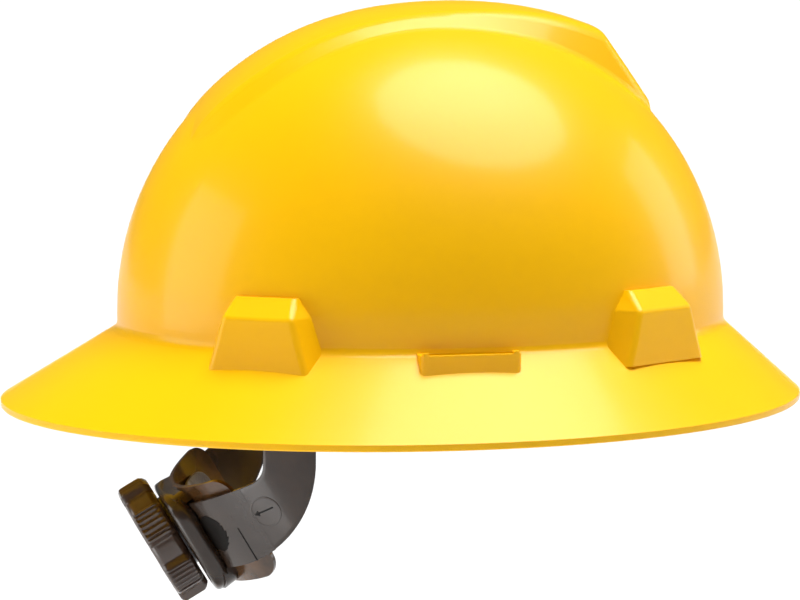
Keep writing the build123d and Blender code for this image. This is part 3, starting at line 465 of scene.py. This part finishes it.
def make_arm(name, material):
    """An arm from the headband to the nape strap: its tail lies inside the rack's wall."""
    side, radius = SIDES[name], LAYER_RADIUS[name] + STRAP_WALL / 2
    work = mapped_grid(72, 14, lambda along, across: arm_spot(side, radius, along, across))
    piece = piece_from(work, name + "_arm_moulding", material)
    thicken(piece, ARM_WALL, ARM_EDGE)
    settled(piece)
    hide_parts(name + "_arm")
    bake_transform(piece)


MARK_ANGLE = math.radians(56.5)
MARK_W = 7.8
MARK_RADIUS = 6.0
MARK_LINE = 0.6
MARK_WALL = 0.3
MARK_EDGE = 0.05
# The arrow, in shares of the ring's radius but for its rise in millimetres
ARROW_RISE = 0.5
SHAFT_TIP, SHAFT_LONG = 0.6, 1.2
HEAD_TIP, HEAD_LONG = 0.85, 0.35
HEAD_LINES = 4


def make_moulding_mark(name, material, dark):
    """A plain ring and an arrow, raised a tenth of a millimetre, as moulders put on a part; the
    arrow is near black, painted shade of an engraved arrow.
    """
    side, radius = SIDES[name], LAYER_RADIUS[name] + STRAP_WALL / 2 + ARM_WALL / 2

    def spot(across, down):
        return nape_spot(radius, MARK_ANGLE + across / radius, MARK_W + down, side)

    def ring(along, across):
        turn = 2 * math.pi * along
        reach = MARK_RADIUS + MARK_LINE * (across - 0.5)
        return spot(reach * math.cos(turn), reach * math.sin(turn))

    def shaft(along, across):
        reach = MARK_RADIUS * (SHAFT_LONG * along - SHAFT_TIP)
        return spot(reach, MARK_LINE * (across - 0.5) - ARROW_RISE)

    def head(along, across):
        reach = MARK_RADIUS * (HEAD_LONG * along - HEAD_TIP)
        return spot(reach, HEAD_LINES * MARK_LINE * (across - 0.5) * along - ARROW_RISE)

    for kind, place, columns in (("ring", ring, 40), ("shaft", shaft, 6), ("head", head, 4)):
        work = mapped_grid(columns, 2, place)
        bmesh.ops.remove_doubles(work, verts=work.verts, dist=WELD * MM)
        # The arrow takes the near-black finish: painted shade
        finish = material if kind == "ring" else dark
        piece = piece_from(work, f"{name}_mark_{kind}", finish)
        thicken(piece, MARK_WALL, MARK_EDGE)
        settled(piece)
        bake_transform(piece)


# Ratchet

KNOB_RADIUS = 25.8
KNOB_FRONT_U = 80.3
KNOB_BACK_U = 67.7
KNOB_LOBES = 6
KNOB_NOTCH = 3.0
LOBE_HALF = math.radians(14)
LOBE_SLOPE = math.radians(6)
RIBS = 5
RIB_DEPTH = 0.9
RIB_PITCH = math.radians(5.2)
RIB_SHARPNESS = 0.7
FACE_DISH = 1.2
KNOB_WALL = 8.9
KNOB_EDGE = 0.25
KNOB_EDGE_ANGLE = 28
CUP_RADIUS = 15.0
KNOB_CUP_GAP = 0.8
HOUSING_CUP_GAP = 0.2
HOUSING_TOP_U = 66.9
HOUSING_EDGE_RADIUS = 64.6
HOUSING_HALF = 27.6
HOUSING_UP, HOUSING_DOWN = 17.8, 26.6
HOUSING_SQUARENESS = 4
HOUSING_FULLNESS = 5
# Share of the housing's sheet that drops in at the cup, and again at its foot
HOUSING_LIP = 0.1


def knob_reach(turn, ribbed):
    """Radius of the knob's rim: six lobes with five ribs each, and smooth notches between."""
    lobe = 2 * math.pi / KNOB_LOBES
    off = abs(turn % lobe - lobe / 2)
    reach = KNOB_RADIUS - KNOB_NOTCH * smooth_step((off - LOBE_HALF) / LOBE_SLOPE)
    if off < RIBS / 2 * RIB_PITCH:
        groove = (0.5 - 0.5 * math.cos(2 * math.pi * off / RIB_PITCH)) ** RIB_SHARPNESS
        reach -= RIB_DEPTH * ribbed * groove
    return reach


def knob_profile(turn):
    """Radius and place along the axis, from the middle of the face round to the back."""
    rim, root = knob_reach(turn, 1.0), knob_reach(turn, 0.0)
    face, back = KNOB_FRONT_U, KNOB_BACK_U
    cup = CUP_RADIUS + KNOB_CUP_GAP
    return (
        # The dished face with its raised ring
        (0.0, face - FACE_DISH),
        (5.0, face - FACE_DISH),
        (5.6, face - 0.5),
        (7.0, face - 0.5),
        (7.6, face - FACE_DISH),
        (15.0, face - FACE_DISH),
        (16.2, face - 0.2),
        (17.0, face),
        (root - 2.2, face),
        # The rounded rim, where the ribs stand
        (root - 1.2, face - 0.3),
        (root - 0.4, face - 1.0),
        (rim, face - 1.9),
        (rim, face - 3.0),
        (rim, back + 3.6),
        (rim, back + 2.6),
        (root - 0.8, back + 1.3),
        (root - 2.4, back),
        # The hollow round the cup
        (cup + 1.0, back),
        (cup, back + 0.6),
        (cup, face - KNOB_WALL),
        (0.0, face - KNOB_WALL),
    )


def on_profile(points, share):
    """A point at a share of a list of points, each step of the list counting alike."""
    place = share * (len(points) - 1)
    first = min(int(place), len(points) - 2)
    start, end = Vector(points[first]), Vector(points[first + 1])
    return start.lerp(end, place - first)


def knob_spot(reach, u, turn):
    """A point by its distance from the knob's axis, its place along it and its turn."""
    spot = OUT * u + DOWN * (KNOB_W + reach * math.sin(turn)) + OUT * NAPE_CENTRE_U
    return (spot.x, -reach * math.cos(turn), spot.y)


def make_knob(material):
    """The grip of the ratchet: lobes thick enough for gloved fingers, hollow round the cup."""

    def spot(along, across):
        turn = 2 * math.pi * along
        reach, u = on_profile(knob_profile(turn), across)
        return knob_spot(reach, u, turn)

    work = mapped_grid(432, 20, spot)
    bmesh.ops.remove_doubles(work, verts=work.verts, dist=WELD * MM)
    piece = piece_from(work, "ribbed_knob", material)
    soften(piece, KNOB_EDGE, KNOB_EDGE_ANGLE)
    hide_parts("ratchet_knob")
    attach(piece, "knob_drive")


def make_housing(material):
    """The housing's body: fills from the bent cover up to the plane under the knob."""

    def spot(along, across):
        turn = 2 * math.pi * along
        low = HOUSING_DOWN if math.sin(turn) > 0 else HOUSING_UP
        sideways = abs(math.cos(turn) / HOUSING_HALF) ** HOUSING_SQUARENESS
        upright = abs(math.sin(turn) / low) ** HOUSING_SQUARENESS
        edge = (sideways + upright) ** (-1 / HOUSING_SQUARENESS)
        room = edge - CUP_RADIUS - HOUSING_CUP_GAP
        foot = 1 - HOUSING_LIP
        share = min(max((across - HOUSING_LIP) / (1 - 2 * HOUSING_LIP), 0.0), 1.0)
        reach = CUP_RADIUS + HOUSING_CUP_GAP + room * math.sin(share * math.pi / 2)
        base = math.sqrt(HOUSING_EDGE_RADIUS**2 - (reach * math.cos(turn)) ** 2)
        puff = math.sqrt(max(1 - share**HOUSING_FULLNESS, 0.0))
        u = base + (HOUSING_TOP_U - base) * puff
        if across < HOUSING_LIP:
            u = base + (HOUSING_TOP_U - base) * across / HOUSING_LIP
        if across > foot:
            reach -= room * (across - foot) / HOUSING_LIP
            u = math.sqrt(HOUSING_EDGE_RADIUS**2 - (reach * math.cos(turn)) ** 2)
        return knob_spot(reach, u, turn)

    work = mapped_grid(144, 40, spot)
    bmesh.ops.remove_doubles(work, verts=work.verts, dist=WELD * MM)
    piece = piece_from(work, "housing_body", material)
    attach(piece, "ratchet")


SLOT_W, SLOT_LONG = 1.6, 16.0
SLOT_ARC, SLOT_REAR, SLOT_FRONT = 32.5, 8.5, 8.0
SLOT_STEP, SLOT_STEP_DEPTH = 2.6, 1.1
SLOT_ROUNDNESS = 0.55
SLOT_TOOTHED = (0.3, 0.93)
SLIT_ANGLE = math.radians(42.3)
SLIT_W, SLIT_LONG, SLIT_WIDE = 9.8, 14.9, 0.6
SHEET_LIFT = 0.06
SHEET_WALL = 0.1
SHEET_EDGE = 0.02


def make_slot_marks(name, material):
    """Dark sheets that paint the shade in the toothed end of the strap's slot and in the short slit
    beyond it.
    """
    side, radius = SIDES[name], LAYER_RADIUS[name] + STRAP_WALL + SHEET_LIFT

    def slot(along, across):
        wide = max(math.sin(math.pi * along), 0.0) ** SLOT_ROUNDNESS
        toothed = SLOT_TOOTHED[0] < along < SLOT_TOOTHED[1]
        tooth = SLOT_LONG * along / SLOT_STEP % 1 if toothed else 0
        front = SLOT_FRONT * wide - SLOT_STEP_DEPTH * tooth
        arc = SLOT_ARC - SLOT_REAR * wide + (SLOT_REAR * wide + front) * across
        return nape_spot(radius, arc / radius, SLOT_W + SLOT_LONG * along, side)

    def slit(along, across):
        angle = SLIT_ANGLE + SLIT_WIDE * (across - 0.5) / radius
        return nape_spot(radius, angle, SLIT_W + SLIT_LONG * along, side)

    for kind, place, columns in (("slot_end", slot, 96), ("slit", slit, 8)):
        work = mapped_grid(columns, 6, place)
        piece = piece_from(work, f"{name}_{kind}", material)
        thicken(piece, SHEET_WALL, SHEET_EDGE)
        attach(piece, "ratchet" if kind == "slot_end" else name + "_strap")


# Crown straps

CROWN_CORNER = (72.5, 83.12)
CROWN_FOOT_INSET = 8.0
CROWN_TOP_Z = 90.0
CROWN_FOOT_Z = 16.5
CROWN_WIDTH = 19.0
CROWN_WALL = 1.2
CROWN_LAP = 2.4
CROWN_EDGE = 0.35
FOLD_GAP = 0.2
STITCH_ROWS = 3
STITCHES = 7
STITCH_INSET = 3.5
STITCH_SPREAD = 0.86
STITCH_HALVES = (0.28, 0.85, 0.22)


def crown_radius():
    """Radius of the circle through both feet and the top of a crown strap."""
    foot = math.hypot(*CROWN_CORNER) - CROWN_FOOT_INSET
    rise = CROWN_TOP_Z - CROWN_FOOT_Z
    return (foot**2 + rise**2) / (2 * rise)


def make_crown_strap(name, material, thread, fold):
    """Webbing from corner to corner over the head; each end turns back on itself and is sewn."""
    side = SIDES[name]
    radius = crown_radius() + CROWN_WALL / 2 + (0 if side > 0 else CROWN_LAP)
    centre_z = CROWN_TOP_Z - crown_radius()
    bend = (CROWN_WALL + FOLD_GAP) / 2
    reach = math.acos((CROWN_FOOT_Z + bend + CROWN_WALL / 2 - centre_z) / radius)
    half = radius * reach + math.pi * bend + fold
    heading = side * math.atan2(CROWN_CORNER[1], CROWN_CORNER[0])
    lie = Matrix.Translation((0, 0, centre_z)) @ Matrix.Rotation(heading, 4, "Z")

    def spot(distance, sideways, lift=0.0):
        end = math.copysign(1.0, distance)
        run = abs(distance) - radius * reach
        angle, height = min(abs(distance) / radius, reach), radius
        if run > 0:
            turned = min(run / bend, math.pi)
            height = radius - bend + bend * math.cos(turned)
            angle = reach + bend * math.sin(turned) / radius
        if run > math.pi * bend:
            angle = reach - (run - math.pi * bend) / radius
        height += lift
        return lie @ Vector((end * height * math.sin(angle), sideways, height * math.cos(angle)))

    def sheet(along, across):
        return spot(half * (2 * along - 1), CROWN_WIDTH * (across - 0.5))

    work = mapped_grid(300, 10, sheet, (2 * half, CROWN_WIDTH))
    strap = piece_from(work, "crown_webbing_" + name, material)
    thicken(strap, CROWN_WALL, CROWN_EDGE)
    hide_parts("crown_strap_" + name)
    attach(strap, "helmet")
    sewing = bmesh.new()
    pitch = (fold - 2 * STITCH_INSET) / (STITCH_ROWS - 1)
    for end in (-1, 1):
        for row in range(STITCH_ROWS):
            distance = end * (radius * reach - STITCH_INSET - row * pitch)
            for index in range(STITCHES):
                sideways = (index - (STITCHES - 1) / 2) * CROWN_WIDTH * STITCH_SPREAD / STITCHES
                centre = spot(distance, sideways, CROWN_WALL / 2)
                ahead = (spot(distance + 0.1, sideways, CROWN_WALL / 2) - centre).normalized()
                across = (spot(distance, sideways + 0.1, CROWN_WALL / 2) - centre).normalized()
                turn = Matrix((ahead, across, ahead.cross(across))).transposed().to_4x4()
                shape = Matrix.Diagonal((*STITCH_HALVES, 1.0))
                place = Matrix.Translation(centre) @ turn @ shape
                bmesh.ops.create_icosphere(sewing, subdivisions=1, radius=1.0, matrix=place)
    bmesh.ops.scale(sewing, verts=sewing.verts, vec=(MM, MM, MM))
    stitches = piece_from(sewing, "crown_stitches_" + name, thread)
    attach(stitches, "helmet")


# Pads

PAD_ROUNDING = 1 / 3
PAD_SIDE_ROUNDING = 0.7
PAD_CROWN = 0.55
PAD_TAPER = 4
CHANNEL_HALF = 0.022
CHANNEL_DEPTH = 0.5
BROW_GAP = 0.5
BROW_END_X = 48.0
BROW_SEAM, BROW_DEEP = 1.8, 1.7
BROW_Z, BROW_HALF_HEIGHT = 15.0, 17.8
NAPE_PAD_TURN = math.radians(35.5)
NAPE_PAD_W, NAPE_PAD_HALF_HEIGHT = 11.75, 15.5
NAPE_PAD_RADIUS, NAPE_PAD_DEEP = 56.9, 1.4
SCREW_HOLLOW, SCREW_REACH = 1.9, 5.5


def make_pad(name, node, body, material, columns, place, channels):
    """A crowned closed cushion: place takes shares -1 to 1 along, across and through its depth.

    The outline's corners are round, the depth dies away towards the seam all round, and the
    sewn channels pull it in.
    """

    def spot(along, around):
        turn, roll = math.pi * along, 2 * math.pi * around
        far = -math.copysign(abs(math.cos(turn)) ** PAD_ROUNDING, math.cos(turn))
        wide = abs(math.sin(turn)) ** PAD_ROUNDING
        over = wide * math.copysign(abs(math.cos(roll)) ** PAD_SIDE_ROUNDING, math.cos(roll))
        puff = math.sqrt(min(abs(math.sin(turn)) * PAD_TAPER, 1.0))
        deep = puff * math.copysign(abs(math.sin(roll)) ** PAD_CROWN, math.sin(roll))
        for line in channels:
            deep *= 1 - CHANNEL_DEPTH * math.exp(-(((far - line) / CHANNEL_HALF) ** 2))
        return place(far, over, deep)

    work = mapped_grid(columns, 48, spot)
    bmesh.ops.remove_doubles(work, verts=work.verts, dist=2 * WELD * MM)
    pad = piece_from(work, name, material)
    smooth = pad.modifiers.new("smooth", "SUBSURF")
    smooth.levels = smooth.render_levels = 1
    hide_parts(node)
    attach(pad, body)


def brow_spot(far, over, deep):
    """Inside the front of the headband, from one temple to the other."""
    length, width = BAND_INNER[0] - BROW_GAP, BAND_INNER[1] - BROW_GAP
    turn = far * math.acos(BROW_END_X / length)
    depth = BROW_SEAM - BROW_DEEP * deep
    x = (length - depth) * math.cos(turn)
    y = (width - depth) * math.sin(turn)
    return (x, y, BROW_Z + BROW_HALF_HEIGHT * over)


def nape_pad_spot(far, over, deep):
    """Inside the plate; its back is hollow round the axle's screw."""
    angle = NAPE_PAD_TURN * far
    w = NAPE_PAD_W + NAPE_PAD_HALF_HEIGHT * over
    radius = NAPE_PAD_RADIUS + NAPE_PAD_DEEP * deep
    near = math.hypot(radius * angle, w - KNOB_W)
    if deep > 0:
        radius -= SCREW_HOLLOW * math.exp(-((near / SCREW_REACH) ** 4))
    return nape_spot(radius, angle, w)


# Camera and stage

CAMERA_TURNS = (-10.4, 6.52, -0.24)
CAMERA_TARGET = (-7.6, 0, 24.3)
CAMERA_AWAY = 1.2
FOCAL_WIDTHS = 3017.5 / 800
CLIP_END = 500.0
FLOOR_RADIUS = 200.0
ROOM_LIGHT, PAPER_LIGHT = 0.12, 1.1


# Sidebar settings


class HatSettings(bpy.types.PropertyGroup):
    """What a user would change."""

    shell_colour: bpy.props.FloatVectorProperty(
        name="Shell colour",
        description="Pigment of the moulded shell",
        default=linear("F0B500")[:3],
        min=0.0,
        max=1.0,
        subtype="COLOR",
    )
    webbing_colour: bpy.props.FloatVectorProperty(
        name="Webbing colour",
        description="Raised threads of the crown straps",
        default=linear("3A3A3E")[:3],
        min=0.0,
        max=1.0,
        subtype="COLOR",
    )
    strap_fold: bpy.props.FloatProperty(
        name="Strap fold",
        description="Length of webbing turned back and sewn at each end of a crown strap",
        default=17.0 * MM,
        min=8.0 * MM,
        max=30.0 * MM,
        unit="LENGTH",
    )
    floor_gap: bpy.props.FloatProperty(
        name="Floor gap",
        description="Height of the hat over the floor",
        default=0.3,
        min=0.0,
        unit="LENGTH",
    )


class HATDRESS_OT_camera(bpy.types.Operator):
    """Places the camera at the photograph's viewing angle."""

    bl_idname = "hatdress.camera"
    bl_label = "Camera"

    def execute(self, context):
        azimuth, elevation, roll = (math.radians(turn) for turn in CAMERA_TURNS)
        target = Vector(CAMERA_TARGET) * MM
        back = Vector(
            (
                math.sin(azimuth) * math.cos(elevation),
                -math.cos(azimuth) * math.cos(elevation),
                math.sin(elevation),
            )
        )
        right = Vector((math.cos(azimuth), math.sin(azimuth), 0))
        up = back.cross(right)
        turn = Matrix.Rotation(roll, 3, back)
        right, up = turn @ right, turn @ up
        lens = bpy.data.cameras.new("camera")
        lens.sensor_width = 36.0
        lens.lens = FOCAL_WIDTHS * lens.sensor_width
        lens.clip_end = CLIP_END
        camera = bpy.data.objects.new("camera", lens)
        context.scene.collection.objects.link(camera)
        place = Matrix((right, up, back)).transposed().to_4x4()
        place.translation = target + back * CAMERA_AWAY
        camera.matrix_world = place
        context.scene.camera = camera
        return {"FINISHED"}


class HATDRESS_OT_stage(bpy.types.Operator):
    """Makes the white floor and the soft studio lights."""

    bl_idname = "hatdress.stage"
    bl_label = "Stage"

    def execute(self, context):
        settings = context.scene.hatdress
        low = CAD_BOX[0].z - settings.floor_gap
        mesh = bpy.data.meshes.new("floor")
        work = bmesh.new()
        bmesh.ops.create_circle(work, cap_ends=True, segments=64, radius=FLOOR_RADIUS)
        bmesh.ops.translate(work, verts=work.verts, vec=(0, 0, low))
        work.to_mesh(mesh)
        work.free()
        floor = bpy.data.objects.new("floor", mesh)
        context.scene.collection.objects.link(floor)
        mesh.materials.append(studio_paper())
        # Plain display of the light, so the paper burns out to white as on the photograph
        context.scene.view_settings.view_transform = "Standard"
        world = bpy.data.worlds.new("studio")
        world.use_nodes = True
        # The camera sees white over the floor's edge, the hat a dimmer room
        tree = world.node_tree
        seen = add(tree, "ShaderNodeLightPath").outputs["Is Camera Ray"]
        level = add(
            tree,
            "ShaderNodeMapRange",
            [(seen, "Value")],
            To_Min=ROOM_LIGHT,
            To_Max=PAPER_LIGHT,
        )
        tree.nodes["Background"].inputs["Color"].default_value = (1, 1, 1, 1)
        tree.links.new(level.outputs["Result"], tree.nodes["Background"].inputs["Strength"])
        context.scene.world = world
        # One lamp overhead lights the colours, the other draws the soft shine on the dome
        for name, toward, spread, power in (
            ("top_light", (0.14, 0.0, 0.99), 40.0, 5.4),
            ("shine_light", (0.27, -0.18, 0.95), 52.0, 6.0),
        ):
            lamp = bpy.data.lights.new(name, "SUN")
            lamp.energy = power
            lamp.angle = math.radians(spread)
            made = bpy.data.objects.new(name, lamp)
            made.rotation_euler = Vector(toward).to_track_quat("Z", "Y").to_euler()
            made.location = Vector(toward) * 2
            made.visible_glossy = name == "shine_light"
            made.visible_diffuse = name == "top_light"
            context.scene.collection.objects.link(made)
        # Two tall soft boxes draw the pale veils at the rear and the front of the dome, and
        # a low one shines in the ratchet, which hangs in the brim's shade
        for name, place, size, power in (
            ("rear_box", (-1.5, 0.1, 0.35), (0.9, 1.0), 9.0),
            ("brow_box", (1.5, 0.25, 0.45), (0.6, 0.9), 6.0),
            ("low_box", (-0.47, -0.2, -0.36), (0.4, 0.4), 1.6),
        ):
            lamp = bpy.data.lights.new(name, "AREA")
            lamp.shape = "RECTANGLE"
            lamp.size, lamp.size_y = size
            lamp.energy = power
            made = bpy.data.objects.new(name, lamp)
            made.location = place
            made.rotation_euler = Vector(place).to_track_quat("Z", "Y").to_euler()
            made.visible_camera = False
            context.scene.collection.objects.link(made)
        return {"FINISHED"}


class HATDRESS_OT_shell(bpy.types.Operator):
    """Finishes the yellow shell."""

    bl_idname = "hatdress.shell"
    bl_label = "Shell"

    def execute(self, context):
        dress("shell", moulded_yellow_polyethylene(context.scene.hatdress))
        return {"FINISHED"}


class HATDRESS_OT_harness(bpy.types.Operator):
    """Finishes the headband, the keys and the studs, which are dark moulded plastic."""

    bl_idname = "hatdress.harness"
    bl_label = "Harness"

    def execute(self, context):
        plastic = smoky_polypropylene("dark_moulded_polyethylene", "1F1C1A", "2A2724", 0.42, 0.6)
        for name in ("headband", "left_arm_stud", "right_arm_stud"):
            dress(name, plastic)
        for name in ("front_left", "front_right", "rear_left", "rear_right"):
            dress(name + "_key", plastic)
        return {"FINISHED"}


class HATDRESS_OT_crown_straps(bpy.types.Operator):
    """Makes the two webbing straps with their sewn ends."""

    bl_idname = "hatdress.crown_straps"
    bl_label = "Crown straps"

    def execute(self, context):
        settings = context.scene.hatdress
        webbing = woven_polyester("dark_polyester_webbing", 1.4, settings.webbing_colour)
        thread = sewing_thread()
        for name in SIDES:
            make_crown_strap(name, webbing, thread, settings.strap_fold / MM)
        return {"FINISHED"}


class HATDRESS_OT_pads(bpy.types.Operator):
    """Makes the brow pad and the nape pad, cloth over foam with sewn channels."""

    bl_idname = "hatdress.pads"
    bl_label = "Pads"

    def execute(self, context):
        cloth = brushed_pad_cloth()
        channels = [step / 3 for step in (-2, -1, 0, 1, 2)]
        make_pad("brow_cushion", "brow_pad", "helmet", cloth, 120, brow_spot, channels)
        make_pad("nape_cushion", "nape_pad", "ratchet", cloth, 72, nape_pad_spot, (-0.5, 0.5))
        return {"FINISHED"}


class HATDRESS_OT_arms(bpy.types.Operator):
    """Makes the two arms, which bend between the headband and the nape strap."""

    bl_idname = "hatdress.arms"
    bl_label = "Arms"

    def execute(self, context):
        smoke = smoky_polypropylene("smoky_brown_polypropylene", "251A13", "30241B", 0.26, 0.5, 0.32)
        # Near-black sheet finish: painted shade for the engraved arrow, the slot's end and the slit
        shade = smoky_polypropylene("painted_shade_polypropylene", "0A0705", "100B08", 0.5, 0.5, 0.08)
        for name in SIDES:
            make_arm(name, smoke)
            make_moulding_mark(name, smoke, shade)
        return {"FINISHED"}


class HATDRESS_OT_ratchet(bpy.types.Operator):
    """Finishes the strap ends, the ratchet housing, its gear and the knob."""

    bl_idname = "hatdress.ratchet"
    bl_label = "Ratchet"

    def execute(self, context):
        smoke = bpy.data.materials["smoky_brown_polypropylene"]
        for name in ("left_rack", "right_rack", "nape_cover"):
            dress(name, smoke)
        make_housing(smoke)
        # Dark sheets paint the shade inside the slot's end and the slit
        shade = bpy.data.materials["painted_shade_polypropylene"]
        for name in SIDES:
            make_slot_marks(name, shade)
        plate = smoky_polypropylene("thin_smoky_polypropylene", "33210F", "5E3F22", 0.22, 0.5, 0.3)
        dress("nape_plate", plate)
        make_knob(smoky_polypropylene("grained_smoky_polypropylene", "33231A", "3E2B1D", 0.3, 0.5))
        white = smoky_polypropylene("natural_acetal", "D8D2C6", "E4DFD4", 0.4, 0.6)
        for name in ("pinion", "ratchet_pawl"):
            dress(name, white)
        dress("axle_screw", zinc_steel())
        return {"FINISHED"}


class HATDRESS_PT_panel(bpy.types.Panel):
    """Lists the steps in the sidebar."""

    bl_idname = "HATDRESS_PT_panel"
    bl_label = "Hard Hat"
    bl_space_type = "VIEW_3D"
    bl_region_type = "UI"
    bl_category = "Hard Hat"

    def draw(self, context):
        for name in ("shell_colour", "webbing_colour", "strap_fold", "floor_gap"):
            self.layout.prop(context.scene.hatdress, name)
        for step in STEPS:
            self.layout.operator(step.bl_idname)


STEPS = (
    HATDRESS_OT_camera,
    HATDRESS_OT_stage,
    HATDRESS_OT_shell,
    HATDRESS_OT_harness,
    HATDRESS_OT_crown_straps,
    HATDRESS_OT_pads,
    HATDRESS_OT_arms,
    HATDRESS_OT_ratchet,
)


def register():
    bpy.utils.register_class(HatSettings)
    bpy.types.Scene.hatdress = bpy.props.PointerProperty(type=HatSettings)
    for step in STEPS:
        bpy.utils.register_class(step)
    bpy.utils.register_class(HATDRESS_PT_panel)


def unregister():
    bpy.utils.unregister_class(HATDRESS_PT_panel)
    for step in reversed(STEPS):
        bpy.utils.unregister_class(step)
    del bpy.types.Scene.hatdress
    bpy.utils.unregister_class(HatSettings)


def main():
    register()
    for step in STEPS:
        group, name = step.bl_idname.split(".")
        getattr(getattr(bpy.ops, group), name)()


if __name__ == "__main__":
    main()
